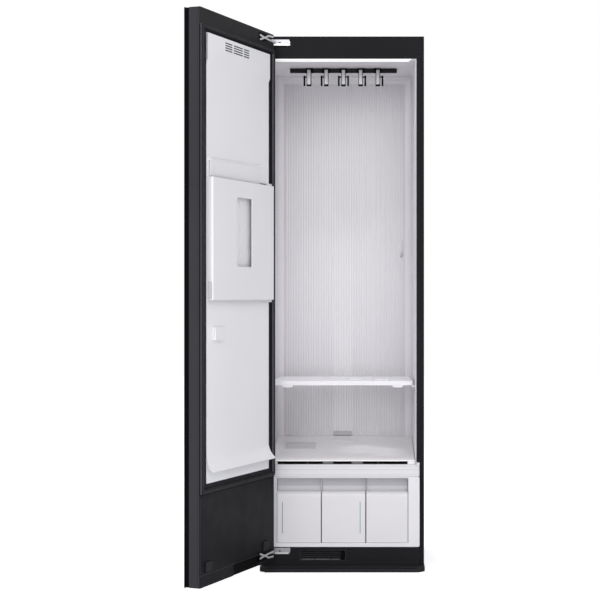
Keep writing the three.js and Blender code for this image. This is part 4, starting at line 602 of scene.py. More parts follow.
class Bench:
    """The modelling operators, used as by hand on one object at a time. Lengths are in millimetres."""

    TURN = math.radians(32.0)  # edges that turn by more are rounded
    FLAT = math.radians(0.4)  # faces that turn by less are one face
    WELD = 0.005  # points nearer than this are one point

    @staticmethod
    def extent(node: str) -> tuple[tuple[float, ...], ...]:
        """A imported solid's low and high corners."""
        return tuple(tuple(value / MM for value in corner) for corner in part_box(node))

    @staticmethod
    def clear() -> None:
        """Leaves edit mode and deselects everything."""
        if bpy.context.object is not None and bpy.context.object.mode != "OBJECT":
            bpy.ops.object.mode_set(mode="OBJECT")
        bpy.ops.object.select_all(action="DESELECT")

    @classmethod
    def pick(cls, piece: Piece) -> None:
        """Makes a piece the only selected and active object.

        Args:
            piece: The object.
        """
        cls.clear()
        piece.select_set(True)
        bpy.context.view_layer.objects.active = piece

    @classmethod
    def settle(cls, piece: Piece, name: str) -> Piece:
        """Names a piece and puts its place, turn and scale into its mesh.

        Args:
            piece: The object.
            name: Its name.

        Returns:
            The object.
        """
        piece.name = name
        piece.data.name = name
        cls.pick(piece)
        bpy.ops.object.transform_apply(location=True, rotation=True, scale=True)
        return piece

    @classmethod
    def box(cls, name: str, x: Span, y: Span, z: Span) -> Piece:
        """Adds a cube and stretches it to three spans.

        Args:
            name: The piece's name.
            x: Where it starts and ends across.
            y: Where it starts and ends in depth.
            z: Where it starts and ends in height.

        Returns:
            The piece, with its place in its mesh.
        """
        cls.clear()
        spans = (x, y, z)
        bpy.ops.mesh.primitive_cube_add(size=1, location=[(a + b) / 2 * MM for a, b in spans])
        bpy.context.object.scale = [(b - a) * MM for a, b in spans]
        return cls.settle(bpy.context.object, name)

    @classmethod
    def boxes(cls, name: str, boxes: Iterable[Box]) -> Piece:
        """Adds several boxes as one piece."""
        return cls.joined(name, [cls.box(name, *spans) for spans in boxes])

    @classmethod
    def rod(cls, name: str, centre: Point, radius: float, depth: float, sides: int = 24) -> Piece:
        """Adds a cylinder that lies along Y.

        Args:
            name: The piece's name.
            centre: Its middle.
            radius: Its radius.
            depth: Its length.
            sides: The number of its sides.

        Returns:
            The piece, with its place in its mesh.
        """
        cls.clear()
        bpy.ops.mesh.primitive_cylinder_add(vertices=sides, radius=radius * MM, depth=depth * MM,
                                            location=[v * MM for v in centre], rotation=(math.pi / 2, 0, 0))
        return cls.settle(bpy.context.object, name)

    @classmethod
    def slab(cls, name: str, points: Sequence[Span], y: Span) -> Piece:
        """Draws a closed outline point by point, fills it and extrudes it along Y.

        Args:
            name: The piece's name.
            points: The outline, across and up.
            y: Where the slab starts and ends.

        Returns:
            The piece, with its place in its mesh.
        """
        cls.clear()
        bpy.ops.mesh.primitive_plane_add(size=MM)
        piece = bpy.context.object
        bpy.ops.object.mode_set(mode="EDIT")
        bpy.ops.mesh.select_mode(type="VERT")
        bpy.ops.mesh.select_all(action="SELECT")
        bpy.ops.mesh.merge(type="CENTER")
        spots = [Vector((x * MM, y[0] * MM, z * MM)) for x, z in points]
        bpy.ops.transform.translate(value=spots[0])
        for last, here in zip(spots, spots[1:]):
            bpy.ops.mesh.extrude_vertices_move(TRANSFORM_OT_translate={"value": here - last})
        bpy.ops.mesh.select_all(action="SELECT")
        bpy.ops.mesh.edge_face_add()
        away = (0.0, (y[1] - y[0]) * MM, 0.0)
        bpy.ops.mesh.extrude_region_move(TRANSFORM_OT_translate={"value": away})
        bpy.ops.mesh.select_all(action="SELECT")
        bpy.ops.mesh.normals_make_consistent(inside=False)
        return cls.settle(piece, name)

    @classmethod
    def screw(cls, name: str, centre: Point, radius: float, depth: float, outward: int) -> Piece:
        """Makes a domed screw head with a cross cut in it.

        Args:
            name: The piece's name.
            centre: The head's middle.
            radius: The head's radius.
            depth: The head's height.
            outward: -1 where it faces the front, 1 where it faces the back.

        Returns:
            The piece.
        """
        head = cls.rod(name, centre, radius, depth, 20)
        cls.bevel(head, depth * 0.4, 3, math.radians(50.0))
        x, y, z = centre
        into = tuple(sorted((y + outward * depth, y - outward * depth * 0.1)))
        arm, half = radius * 0.62, radius * 0.13
        for wide, tall in ((arm, half), (half, arm)):
            cls.cut(head, cls.box("cross", around(x, wide), into, around(z, tall)))
        cls.soften(head, 0.0)
        return head

    @classmethod
    def edges(cls, piece: Piece, test: Callable[[Vector, Vector], bool]) -> None:
        """Selects in edit mode the edges that pass a test.

        Args:
            piece: The object to edit.
            test: Takes an edge's two ends, in metres.
        """
        cls.pick(piece)
        bpy.ops.object.mode_set(mode="EDIT")
        bpy.ops.mesh.select_mode(type="EDGE")
        bpy.ops.mesh.select_all(action="DESELECT")
        for edge in bmesh.from_edit_mesh(piece.data).edges:
            if test(edge.verts[0].co, edge.verts[1].co):
                edge.select_set(True)
        bmesh.update_edit_mesh(piece.data)

    @classmethod
    def modify(cls, piece: Piece, kind: str, **values: object) -> None:
        """Adds a modifier, sets it and applies it.

        Args:
            piece: The object.
            kind: The modifier's type.
            **values: Its settings.
        """
        cls.pick(piece)
        bpy.ops.object.modifier_add(type=kind)
        modifier = piece.modifiers[-1]
        for key, value in values.items():
            setattr(modifier, key, value)
        bpy.ops.object.modifier_apply(modifier=modifier.name)

    @classmethod
    def bevel(cls, piece: Piece, width: float, steps: int, turn: float = TURN) -> None:
        """Rounds the edges that turn by more than an angle, by a width in a number of steps."""
        cls.modify(piece, "BEVEL", width=width * MM, segments=steps, limit_method="ANGLE", angle_limit=turn,
                   use_clamp_overlap=True, harden_normals=False)

    @classmethod
    def cut(cls, piece: Piece, tool: Piece) -> None:
        """Cuts a piece with a tool and removes the tool."""
        cls.modify(piece, "BOOLEAN", operation="DIFFERENCE", object=tool, solver="EXACT")
        bpy.data.objects.remove(tool)

    @classmethod
    def soften(cls, piece: Piece, width: float, steps: int = 2, smooth: float = 40.0) -> None:
        """Rounds a piece's edges and shades it smooth with flat faces kept flat.

        Args:
            piece: The object to finish.
            width: The edge radius, or 0 for none.
            steps: Steps across each rounded edge.
            smooth: Edges that turn by less than this many degrees are shaded smooth.
        """
        if width > 0:
            cls.bevel(piece, width, steps)
        cls.pick(piece)
        bpy.ops.object.shade_smooth_by_angle(angle=math.radians(smooth))
        cls.modify(piece, "WEIGHTED_NORMAL", mode="FACE_AREA", weight=80, keep_sharp=True)

    @classmethod
    def hang(cls, piece: Piece) -> Piece:
        """Turns a piece drawn on the shut door to where the open door holds it.

        Args:
            piece: The piece.

        Returns:
            The piece.
        """
        turn = Matrix.Rotation(-DOOR_OPEN, 4, "Z")
        piece.matrix_world = Matrix.Translation(PIVOT) @ turn @ Matrix.Translation(-PIVOT)
        return cls.settle(piece, piece.name)

    @classmethod
    def copy(cls, source: Piece, name: str, move: Point = (0.0, 0.0, 0.0)) -> Piece:
        """Copies a piece with a mesh of its own.

        Args:
            source: The piece.
            name: The copy's name.
            move: How far the copy is moved, in its mesh.

        Returns:
            The copy.
        """
        twin = bpy.data.objects.new(name, source.data.copy())
        twin.data.name = name
        bpy.context.scene.collection.objects.link(twin)
        twin.data.transform(Matrix.Translation([v * MM for v in move]))
        return twin

    @classmethod
    def merged_copy(cls, node: str, name: str) -> Piece:
        """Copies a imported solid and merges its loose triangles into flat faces.

        Args:
            node: The solid's name.
            name: The copy's name.

        Returns:
            The copy.
        """
        piece = cls.copy(frame["nodes"][node], name)
        cls.pick(piece)
        bpy.ops.object.mode_set(mode="EDIT")
        bpy.ops.mesh.select_all(action="SELECT")
        bpy.ops.mesh.remove_doubles(threshold=cls.WELD * MM)
        bpy.ops.mesh.dissolve_limited(angle_limit=cls.FLAT)
        bpy.ops.object.mode_set(mode="OBJECT")
        return piece

    @classmethod
    def joined(cls, name: str, parts: Sequence[Piece]) -> Piece:
        """Joins loose parts into one object.

        Args:
            name: The object's name.
            parts: The parts.

        Returns:
            The object.
        """
        cls.pick(parts[0])
        for part in parts[1:]:
            part.select_set(True)
        if len(parts) > 1:
            bpy.ops.object.join()
        parts[0].name = name
        parts[0].data.name = name
        return parts[0]


def bar_outline(line: Sequence[Span], half: float, steps: int = 5) -> list[Span]:
    """The outline of a bent flat bar with round ends.

    Args:
        line: The points of the bar's middle line.
        half: Half its width.
        steps: Steps round each end.

    Returns:
        The outline's points in order.
    """
    left: list[Span] = []
    right: list[Span] = []
    for i, (x, z) in enumerate(line):
        before, after = line[max(i - 1, 0)], line[min(i + 1, len(line) - 1)]
        turn = math.atan2(after[1] - before[1], after[0] - before[0])
        dx, dz = -math.sin(turn) * half, math.cos(turn) * half
        left.append((x + dx, z + dz))
        right.append((x - dx, z - dz))
    ends: list[list[Span]] = []
    for (x, z), (px, pz) in ((line[-1], line[-2]), (line[0], line[1])):
        start = math.atan2(z - pz, x - px) + math.pi / 2
        angles = [start - math.pi * k / steps for k in range(1, steps)]
        ends.append([(x + half * math.cos(a), z + half * math.sin(a)) for a in angles])
    return left + ends[0] + right[::-1] + ends[1]


@dataclass(frozen=True)
class Row:
    """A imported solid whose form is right, and the copy with rounded edges that stands for it."""

    node: str
    piece: str
    finish: Finish
    edge: float  # its edges' radius in millimetres
    body: Body = Body.CABINET
    smooth: float = 40.0  # edges that turn by less, in degrees, are shaded smooth


@dataclass
class Assembly:
    """A sub-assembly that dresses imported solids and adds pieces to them. Lengths are in millimetres."""

    made: list[Piece] = field(default_factory=list, init=False)
    rows: tuple[Row, ...] = ()

    def build(self) -> list[Piece]:
        """Dresses the solids and adds the details.

        Returns:
            All the pieces, in order.
        """
        for row in self.rows:
            self.dress(row)
        self.detail()
        return self.made

    def detail(self) -> None:
        """Adds what the solids don't have, nothing unless an assembly says so."""

    def keep(self, piece: Piece, body: Body, finish: Finish, slot: Slot | None = None) -> None:
        """Gives a finished piece its material and body.

        Args:
            piece: The piece.
            body: What it rides on.
            finish: Its finish.
            slot: Not used.
        """
        Bench.clear()
        piece.data.materials.clear()
        piece.data.materials.append(finish.material())
        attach(piece, body.value)
        self.made.append(piece)

    def dress(self, row: Row) -> None:
        """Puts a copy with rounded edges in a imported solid's place.

        Args:
            row: The solid and its copy.
        """
        piece = Bench.merged_copy(row.node, row.piece)
        Bench.soften(piece, row.edge, smooth=row.smooth)
        self.keep(piece, row.body, row.finish)
        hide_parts(row.node)

    def trim(self, name: str, boxes: Iterable[Box], finish: Finish, edge: float, steps: int = 1,
             body: Body = Body.CABINET) -> None:
        """Adds thin trim made of boxes, drawn on the shut door where it rides on the door.

        Args:
            name: The piece's name.
            boxes: Each box's spans.
            finish: Its finish.
            edge: Its edge radius.
            steps: Steps across each rounded edge.
            body: What it rides on.
        """
        piece = Bench.boxes(name, boxes)
        Bench.soften(piece, edge, steps)
        if body is Body.DOOR:
            Bench.hang(piece)
        self.keep(piece, body, finish)


@dataclass
class Shell(Assembly):
    """Side panels, header, top, back, base, plinth, feet and kick panel."""

    rows: tuple[Row, ...] = (
        Row("side_panel_left", "side_sheet_left", BLACK_COAT, 0.35),
        Row("side_panel_right", "side_sheet_right", BLACK_COAT, 0.35),
        Row("front_header", "header_sheet", BLACK_COAT, 0.35),
        Row("top_cover", "top_sheet", BLACK_COAT, 0.4),
        Row("back_panel", "back_sheet", ZINC, 0.25),
        Row("base_pan", "base_sheet", ZINC, 0.4),
        Row("cord_gland", "inlet_gland", BLACK_MOULD, 0.5),
        Row("plinth_cover", "plinth_moulding", PLINTH_BLACK, 1.2),
        Row("foot_rail_front", "feet_front", BLACK_MOULD, 0.5),
        Row("foot_rail_rear", "feet_rear", BLACK_MOULD, 0.5),
        Row("kick_panel", "kick_moulding", BLACK_MOULD, 0.35),
        Row("intake_grille", "intake_louvre", GRILLE_BLACK, 0.3),
    )
    screw_inset: float = 9.0
    screws_up: int = 6
    cap_reach: float = 19.0
    cap_steps: int = 8

    def detail(self) -> None:
        """Adds the back's screws, and painted shade at the intake's end and in the plinth's groove."""
        self.fasten()
        self.round_off()
        low, high = Bench.extent("plinth_cover")
        # a near-black strip standing proud, as the painted shade of the plinth's groove
        depth, height = (low[1] - 0.25, low[1] + 1.4), (high[2] - 3.0, high[2] - 0.7)
        groove = ((low[0] + 30.0, high[0] - 30.0), depth, height)
        self.trim("plinth_line", [groove], BLACK_AND_SHADE, 0.2)

    def fasten(self) -> None:
        """Screws the back panel on along its edges."""
        low, high = Bench.extent("back_panel")
        side, floor, roof = high[0] - self.screw_inset, low[2] + self.screw_inset, high[2] - self.screw_inset
        first = Bench.screw("back_screws", (-side, high[1] + 0.4, floor), 3.6, 1.6, 1)
        rise = (roof - floor) / (self.screws_up - 1)
        places = [(x, floor + rise * i) for i in range(self.screws_up) for x in (-side, side)][1:]
        places += [(x, z) for z in (floor, roof) for x in (-side / 3, side / 3)]
        heads = [Bench.copy(first, "screw", (x + side, 0.0, z - floor)) for x, z in places]
        self.keep(Bench.joined("back_screws", [first, *heads]), Body.CABINET, SCREW_STEEL, Slot.ZINC)

    def round_off(self) -> None:
        """Paints the shade of the rounded recess at the intake's right end, as a near-black slab."""
        low, high = Bench.extent("intake_grille")
        floor, roof = low[2] + 3.0, high[2] - 3.0
        half, start = (roof - floor) / 2, high[0] - self.cap_reach
        bend = high[0] - 2.0 - half / 3
        points = [(start, floor), (bend, floor)]
        for k in range(1, self.cap_steps):
            a = math.pi * (k / self.cap_steps - 0.5)
            points.append((bend + half / 3 * math.cos(a), floor + half + half * math.sin(a)))
        points += [(bend, roof), (start, roof)]
        cap = Bench.slab("intake_end_cap", points, (low[1] - 0.3, low[1] + 3.0))
        Bench.soften(cap, 0.5)
        self.keep(cap, Body.CABINET, BLACK_AND_SHADE)


@dataclass
class Chamber(Assembly):
    """Liner, ribbed wall, light, floor tray, filter, sill and shelf."""

    rows: tuple[Row, ...] = (
        Row("chamber_liner", "liner_moulding", LINER_GREY, 1.2),
        Row("chamber_cove", "cove_moulding", COVE_GREY, 0.0, smooth=30.0),
        Row("shelf_ledge_left", "ledge_left", COVE_GREY, 0.8),
        Row("shelf_ledge_right", "ledge_right", COVE_GREY, 0.8),
        Row("rib_panel", "ribbed_wall", RIB_PAINTED_SHADE, 0.0, smooth=89.0),
        Row("steam_vent", "steam_outlet", VENT_GREY, 0.25),
        Row("light_bar", "light_lens", LIGHT, 0.6),
        Row("sill", "stepped_sill", SILL_WHITE, 0.4),
        Row("floor_tray", "sloped_tray", TRAY_WHITE, 0.6),
        Row("lint_filter", "filter_cassette", BLACK_AND_SHADE, 0.3, Body.FILTER),
        Row("shelf", "shelf_moulding", SHELF_WHITE, 0.9, Body.SHELF),
    )
    sill_steps: tuple[Span, ...] = ((5.1, 0.7), (23.5, 1.9), (36.4, 3.1))  # each painted shadow line's height and depth, at the foot of a step
    grips: tuple[Span, ...] = ((-72.4, -34.5), (33.5, 74.0), (-128.8, -127.2), (129.8, 131.4))
    tray_lip: float = 14.7
    louvre_middle: Span = (-165.2, 268.8)
    louvre_half: Span = (55.2, 57.5)
    slats: int = 5
    slat_half: float = 8.2

    def detail(self) -> None:
        """Adds the light's edge, painted shadow lines on the sill's steps, the louvre, a grey sheet of
        painted light in the steam vent's slots and the filter's parts.
        """
        low, high = Bench.extent("chamber_liner")
        edge = ((low[0] + 20.0, high[0] - 20.0), (low[1] - 0.8, low[1] + 0.1), (high[2] - 4.6, high[2] - 0.7))
        self.trim("light_edge", [edge], LIGHT, 0.3, 2)
        low, high = Bench.extent("sill")
        # a thin grey strip at the foot of each sill step, as painted shadow
        lines = [((low[0] + 1.0, high[0] - 1.0), (back, back + 0.6), (low[2] + rise, low[2] + rise + 1.1))
                 for rise, back in self.sill_steps]
        self.trim("sill_lines", lines, SHADE_GREY, 0.15)
        self.floor_louvre()
        low, high = Bench.extent("steam_vent")
        # a grey sheet just behind the steam vent's slats, painted light that hides the shade in the slots
        screen = ((low[0] + 1.5, high[0] - 1.5), (low[1] + 1.3, low[1] + 2.1), (low[2] + 1.5, high[2] - 1.5))
        self.trim("steam_screen", [screen], VENT_GREY, 0.2)
        low, high = Bench.extent("lint_filter")
        tabs = [(grip, (low[1] - 1.0, low[1] + 1.5), (low[2] + 0.8, high[2] - 0.6)) for grip in self.grips]
        self.trim("filter_grips", tabs, GRIP_GREY, 0.5, 2, Body.FILTER)
        net = ((low[0] + 6.0, high[0] - 6.0), (low[1] + 6.0, high[1] - 6.0), (low[2] + 4.9, low[2] + 5.3))
        self.trim("filter_net", [net], FILTER_NET, 0.1, 1, Body.FILTER)

    def floor_louvre(self) -> None:
        """Adds the air louvre that lies on the floor tray's slope, at its left."""
        low, high = Bench.extent("floor_tray")
        lip = low[2] + self.tray_lip
        slope = math.atan2(high[2] - lip, high[1] - low[1])
        x, y = self.louvre_middle
        z = lip + (y - low[1]) * math.tan(slope) - 0.9
        across, run = self.louvre_half
        parts = [Bench.box("tray_louvre", around(0.0, across + 2.0), around(0.0, run + 2.0), (-0.6, 0.0))]
        for i in range(self.slats):
            middle = run * ((2 * i + 1) / self.slats - 1)
            slat = Bench.box("slat", around(0.0, across), around(middle, self.slat_half), (-0.3, 1.5))
            Bench.bevel(slat, 0.6, 2)
            parts.append(slat)
        louvre = Bench.joined("tray_louvre", parts)
        louvre.location = (x * MM, y * MM, z * MM)
        louvre.rotation_euler = (slope, 0.0, 0.0)
        Bench.settle(louvre, "tray_louvre")
        Bench.soften(louvre, 0.0)
        self.keep(louvre, Body.CABINET, LOUVRE_GREY)


@dataclass
class HangingRail(Assembly):
    """The moving bar, its drive and the five twisting holders."""

    rows: tuple[Row, ...] = (
        Row("hanger_bar", "rail_bar", BLACK_MOULD, 0.6, Body.MOVING_BAR),
        Row("hanger_drive", "rail_drive", ZINC, 1.0),
    )
    holders: tuple[tuple[Body, tuple[int, ...]], ...] = (  # each holder, and the sides that it has a hook on
        (Body.HOLDER_1, (-1,)), (Body.HOLDER_2, (-1,)), (Body.HOLDER_3, (-1, 1)), (Body.HOLDER_4, (1,)),
        (Body.HOLDER_5, (1,)),
    )
    pitch: float = 65.5
    strip_half: float = 6.3
    strip_round: float = 1.8
    hook_out: Span = (17.75, 16.0)  # a hook from its holder's middle, and from its front
    sleeve_half: Span = (3.3, 4.6)
    sleeve_height: Span = (1.1, 40.6)
    clip_half: float = 15.0

    def detail(self) -> None:
        """Dresses the holders and adds each one's strip, sleeves and clip."""
        for number, (body, sides) in enumerate(self.holders, 1):
            node = f"hanger_holder_{number}"
            self.dress(Row(node, f"holder_body_{number}", BLACK_AND_SHADE, 0.5, body))
            middle = self.pitch * (number - 3)
            self.face_strip(node, f"holder_strip_{number}", middle, body)
            low, _ = Bench.extent(node)
            front, (wide, deep) = low[1] + self.hook_out[1], self.sleeve_half
            hooks = [middle + side * self.hook_out[0] for side in sides]
            height = (low[2] + self.sleeve_height[0], low[2] + self.sleeve_height[1])
            sleeves = [(around(x, wide), around(front, deep), height) for x in hooks]
            self.trim(f"hook_sleeves_{number}", sleeves, BLACK_AND_SHADE, 1.6, 3, body)
            low, high = Bench.extent("hanger_bar")
            clip = (around(middle, self.clip_half), (low[1] + 1.45, high[1] - 1.45),
                    (low[2] - 0.15, low[2] + 16.4))
            self.trim(f"bar_clip_{number}", [clip], BLACK_AND_SHADE, 1.6, 3, Body.MOVING_BAR)

    def face_strip(self, node: str, name: str, middle: float, body: Body) -> None:
        """Adds the brushed strip down a holder's front, its two lower corners round.

        Args:
            node: The holder's solid.
            name: The strip's name.
            middle: The holder's middle, across.
            body: The holder's body.
        """
        low, high = Bench.extent(node)
        strip = Bench.box(name, around(middle, self.strip_half), (low[1] - 0.7, low[1] + 0.4),
                          (low[2] + 5.6, high[2] - 0.6))
        Bench.edges(strip, lambda a, b: abs(a.y - b.y) > MM / 2 and a.z < (high[2] - 5.0) * MM)
        bpy.ops.mesh.bevel(offset=self.strip_round * MM, segments=4)
        bpy.ops.object.mode_set(mode="OBJECT")
        Bench.soften(strip, 0.3)
        self.keep(strip, body, SILVER_Z)


@dataclass
class Bay(Assembly):
    """The bay frame and box with the two tanks and the drawer."""

    rows: tuple[Row, ...] = (
        Row("bay_frame", "bay_surround", WHITE_MOULD, 0.8),
        Row("bay_box", "bay_housing", WHITE_MOULD, 0.5),
        Row("fill_tank_front", "fill_tank_face", FRONT_WHITE, 0.6, Body.FILL_TANK),
        Row("fill_tank", "fill_tank_bin", TANK_GREY, 0.5, Body.FILL_TANK),
        Row("drain_tank_front", "drain_tank_face", FRONT_WHITE, 0.6, Body.DRAIN_TANK),
        Row("drain_tank", "drain_tank_bin", TANK_GREY, 0.5, Body.DRAIN_TANK),
        Row("accessory_drawer_front", "accessory_drawer_face", FRONT_WHITE, 0.6, Body.DRAWER),
        Row("accessory_drawer", "accessory_drawer_bin", WHITE_MOULD, 0.5, Body.DRAWER),
    )
    windows: tuple[tuple[str, Body, float, Finish], ...] = (
        ("fill_tank", Body.FILL_TANK, -221.0, WINDOW_GREY),
        ("drain_tank", Body.DRAIN_TANK, 64.8, WINDOW_GREEN),
    )
    window_half: float = 1.45
    window_height: Span = (34.1, 149.9)
    # dark bars in the 1 mm gap round the bay's mouth, as its painted shadow
    mouth: tuple[tuple[Span, Span], ...] = (
        ((-241.9, -241.1), (100.0, 336.0)), ((241.1, 242.3), (100.0, 336.0)),
        ((-241.0, 241.0), (335.9, 337.7)),
    )

    def detail(self) -> None:
        """Adds the tanks' level windows and the painted shadow in the gap round the bay's mouth."""
        for unit, body, x, finish in self.windows:
            low, _ = Bench.extent(f"{unit}_front")
            foot, head = self.window_height
            pane = (around(x, self.window_half), (low[1] + 0.5, low[1] + 2.9), (low[2] + foot, low[2] + head))
            self.trim(f"{unit}_level", [pane], finish, 0.3, 2, body)
        low, _ = Bench.extent("bay_frame")
        bars = [(x, (low[1] - 0.25, low[1] + 0.2), z) for x, z in self.mouth]
        self.trim("mouth_line", bars, GAP_SHADOW_GREY, 0.1)


@dataclass
class Door(Assembly):
    """The glass door with its liner, gasket, press and clamps, and the hinge plates.

    What rides on the door is drawn on the shut door, and its depth is measured from the door's inner face.
    """

    rows: tuple[Row, ...] = (
        Row("door_glass", "glass_pane", GLASS, 0.7, Body.DOOR),
        Row("glass_carrier", "carrier_moulding", GLASS_BACK, 0.5, Body.DOOR),
        Row("door_frame", "frame_sheet", EDGE_GREY, 0.6, Body.DOOR),
        Row("door_inner_cover", "inner_cover", DOOR_BLACK, 0.5, Body.DOOR),
        Row("door_gasket", "gasket_ring", RUBBER, 1.4, Body.DOOR),
        Row("door_liner", "liner_pressing", DOOR_WHITE, 0.9, Body.DOOR),
        Row("press_board", "press_base", PRESS_WHITE, 0.5, Body.DOOR),
        Row("press_panel", "press_lid", PRESS_WHITE, 1.5, Body.PRESS),
        Row("press_latch", "press_catch", LOUVRE_GREY, 0.4, Body.LATCH),
        Row("hem_clamp", "hem_flap_moulding", PRESS_WHITE, 0.5, Body.HEM_FLAP),
        Row("trouser_clip", "trouser_jaw", PRESS_WHITE, 0.8, Body.DOOR),
        Row("hinge_plate_top", "hinge_strip_top", SILVER_X, 0.4),
        Row("hinge_plate_bottom", "hinge_strip_bottom", SILVER_X, 0.4),
    )
    edge_strip: tuple[Box, ...] = (((297.6, 298.2), (-5.4, -0.2), (49.0, 1952.0)),)
    vent_plate: Box = ((-73.0, 122.0), (4.0, 8.0), (1834.0, 1864.0))
    # a dark plate behind the vent's slots, as painted shade
    vent_back: Box = ((-70.0, 119.0), (3.0, 3.6), (1837.0, 1861.0))
    vent_columns: tuple[Span, ...] = ((-71.0, -27.0), (-18.5, 53.5), (64.5, 120.0))
    vent_rows: tuple[float, ...] = (1837.0, 1845.0, 1853.0, 1861.0)
    slot_half: float = 1.9
    # lighter strips: up the lower panel's side a painted edge highlight, along its foot two lighter lines
    rims_and_edge_highlight: tuple[Box, ...] = (
        ((290.9, 292.5), (0.6, 1.25), (86.0, 346.0)),
        ((42.0, 291.5), (-0.4, 0.45), (84.3, 86.1)),
        ((-166.0, 41.0), (-0.4, 0.45), (84.9, 86.1)),
    )
    joints: tuple[Box, ...] = (  # dark joints over the lower panel and along the door's edge, and painted shade in the panel's scoop
        ((-292.0, 292.0), (-0.2, 1.0), (349.1, 352.4)),
        ((-171.5, 39.5), (-3.6, -3.1), (46.6, 84.2)),
        ((293.2, 297.2), (-0.2, 0.3), (350.0, 1894.0)),
    )
    bumpers: tuple[Box, ...] = (
        ((-243.0, -197.0), (5.5, 6.7), (95.0, 125.0)),
        ((215.0, 261.0), (5.5, 6.7), (95.0, 125.0)),
    )
    hinges: tuple[tuple[str, float, int, float], ...] = (  # name, eye's height, its upper side, lip's end
        ("top", 1937.25, 1, -194.0), ("bottom", 69.05, -1, -200.0),
    )
    well: tuple[Span, ...] = (  # the outline of the painted shade in the hinge's well, from the eye's height, as the links and pins are
        (-253.5, -10.5), (-253.5, 10.0), (-170.0, 10.0), (-166.0, 6.0), (-166.0, -17.5), (-170.0, -21.5),
        (-200.0, -21.5),
    )
    links: tuple[tuple[Span, ...], ...] = (
        ((-177.0, -1.5), (-231.0, -6.5), (-288.0, -8.5)),
        ((-177.0, -17.0), (-226.0, -2.0), (-245.0, 6.0), (-288.0, 8.2)),
    )
    link_half: float = 3.3
    pins: tuple[Span, ...] = ((-177.0, -1.5), (-177.0, -17.0), (-228.0, -4.4))

    def detail(self) -> None:
        """Adds the gasket's painted highlight, the lines and painted shade on the door, its vent and what the
        hinges show.
        """
        low, high = Bench.extent("door_gasket")
        # lighter strips along the gasket's crown, as its painted highlight
        ridge_highlights = (
            ((291.9, 292.9), (2.2, 4.9), (low[2] + 1.0, high[2] - 1.0)),
            ((-277.2, -276.2), (3.6, 8.2), (low[2] + 17.0, high[2] - 17.0)),
        )
        self.on_face("gasket_ridge", ridge_highlights, GASKET_HIGHLIGHT_GREY, 0.2)
        self.on_face("edge_trim", self.edge_strip, EDGE_GREY, 0.2)
        self.vent()
        self.on_face("cover_rims", self.rims_and_edge_highlight, RIM_GREY, 0.2)
        self.on_face("cover_joint", self.joints, BLACK_AND_SHADE, 0.15)
        self.on_face("bumper_faces", self.bumpers, PAD_GREY, 1.0, 2)
        for name, eye, up, end in self.hinges:
            shape = self.turned(self.well, eye, up)
            # a near-black sheet on the door's face as the painted shade in the hinge's well
            well = Bench.slab(f"hinge_well_{name}", shape, (DOOR_FACE, DOOR_FACE + 0.5))
            Bench.soften(well, 0.2, 1)
            self.keep(Bench.hang(well), Body.DOOR, BLACK_AND_SHADE)
            self.hinge_links(f"hinge_links_{name}", eye, up)
            lip = ((-286.0, end), (-6.3, -5.9), (eye - 10.65, eye - 4.85))
            self.trim(f"hinge_lip_{name}", [lip], POLISHED, 0.15)
            screw = Bench.screw(f"hinge_screw_{name}", (-230.0, -2.2, eye), 2.9, 2.0, -1)
            self.keep(screw, Body.CABINET, SCREW_STEEL)

    @staticmethod
    def lifted(boxes: Iterable[Box]) -> list[Box]:
        """Boxes whose depth is measured from the door's inner face, placed on it."""
        return [(x, (DOOR_FACE + y[0], DOOR_FACE + y[1]), z) for x, y, z in boxes]

    @staticmethod
    def turned(points: Iterable[Span], eye: float, up: int) -> list[Span]:
        """Points measured from a hinge's eye, placed by its height and its upper side."""
        return [(x, eye + up * z) for x, z in points]

    def on_face(self, name: str, boxes: Iterable[Box], finish: Finish, edge: float, steps: int = 1) -> None:
        """Adds trim to the door, by its name, boxes, finish, edge radius and steps across the edge."""
        self.trim(name, self.lifted(boxes), finish, edge, steps, Body.DOOR)

    def slots(self, grow: float, y: Span) -> list[Box]:
        """The vent's twelve slots.

        Args:
            grow: How much larger they are on each side.
            y: Their depth.

        Returns:
            The slots' boxes.
        """
        half = self.slot_half + grow
        return [((left - grow, right + grow), y, around(z, half))
                for left, right in self.vent_columns for z in self.vent_rows]

    def vent(self) -> None:
        """Makes the door's vent plate with its slots, and dark bars in and behind the slots as their painted
        shade.
        """
        plate = Bench.boxes("vent_grid", self.lifted([self.vent_plate]))
        Bench.cut(plate, Bench.boxes("slots", self.lifted(self.slots(0.0, (3.0, 9.0)))))
        Bench.soften(plate, 0.3)
        self.keep(Bench.hang(plate), Body.DOOR, DOOR_WHITE, Slot.GREY_PLASTIC)
        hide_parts("door_vent")
        # dark bars filling the slots and a dark plate behind them: painted shade
        self.on_face("vent_screen", [self.vent_back, *self.slots(-0.15, (3.3, 7.5))], BLACK_AND_SHADE, 0.2)

    def hinge_links(self, name: str, eye: float, up: int) -> None:
        """Adds a hinge's crossed links and the heads of their pins.

        Args:
            name: The piece's name.
            eye: The height of the hinge's eye.
            up: 1, or -1 where the hinge is upside down.
        """
        parts = []
        for i, line in enumerate(self.links):
            face = DOOR_FACE + 0.55 + 0.8 * i
            outline = bar_outline(self.turned(line, eye, up), self.link_half)
            link = Bench.slab(name, outline, (face, face + 1.2))
            Bench.bevel(link, 0.4, 2, math.radians(50.0))
            parts.append(link)
        for x, z in self.turned(self.pins, eye, up):
            pin = Bench.rod("pin", (x, DOOR_FACE + 1.7, z), 3.4, 2.2)
            Bench.bevel(pin, 0.5, 2)
            parts.append(pin)
        links = Bench.joined(name, parts)
        Bench.soften(links, 0.0)
        self.keep(Bench.hang(links), Body.DOOR, LINK_STEEL)


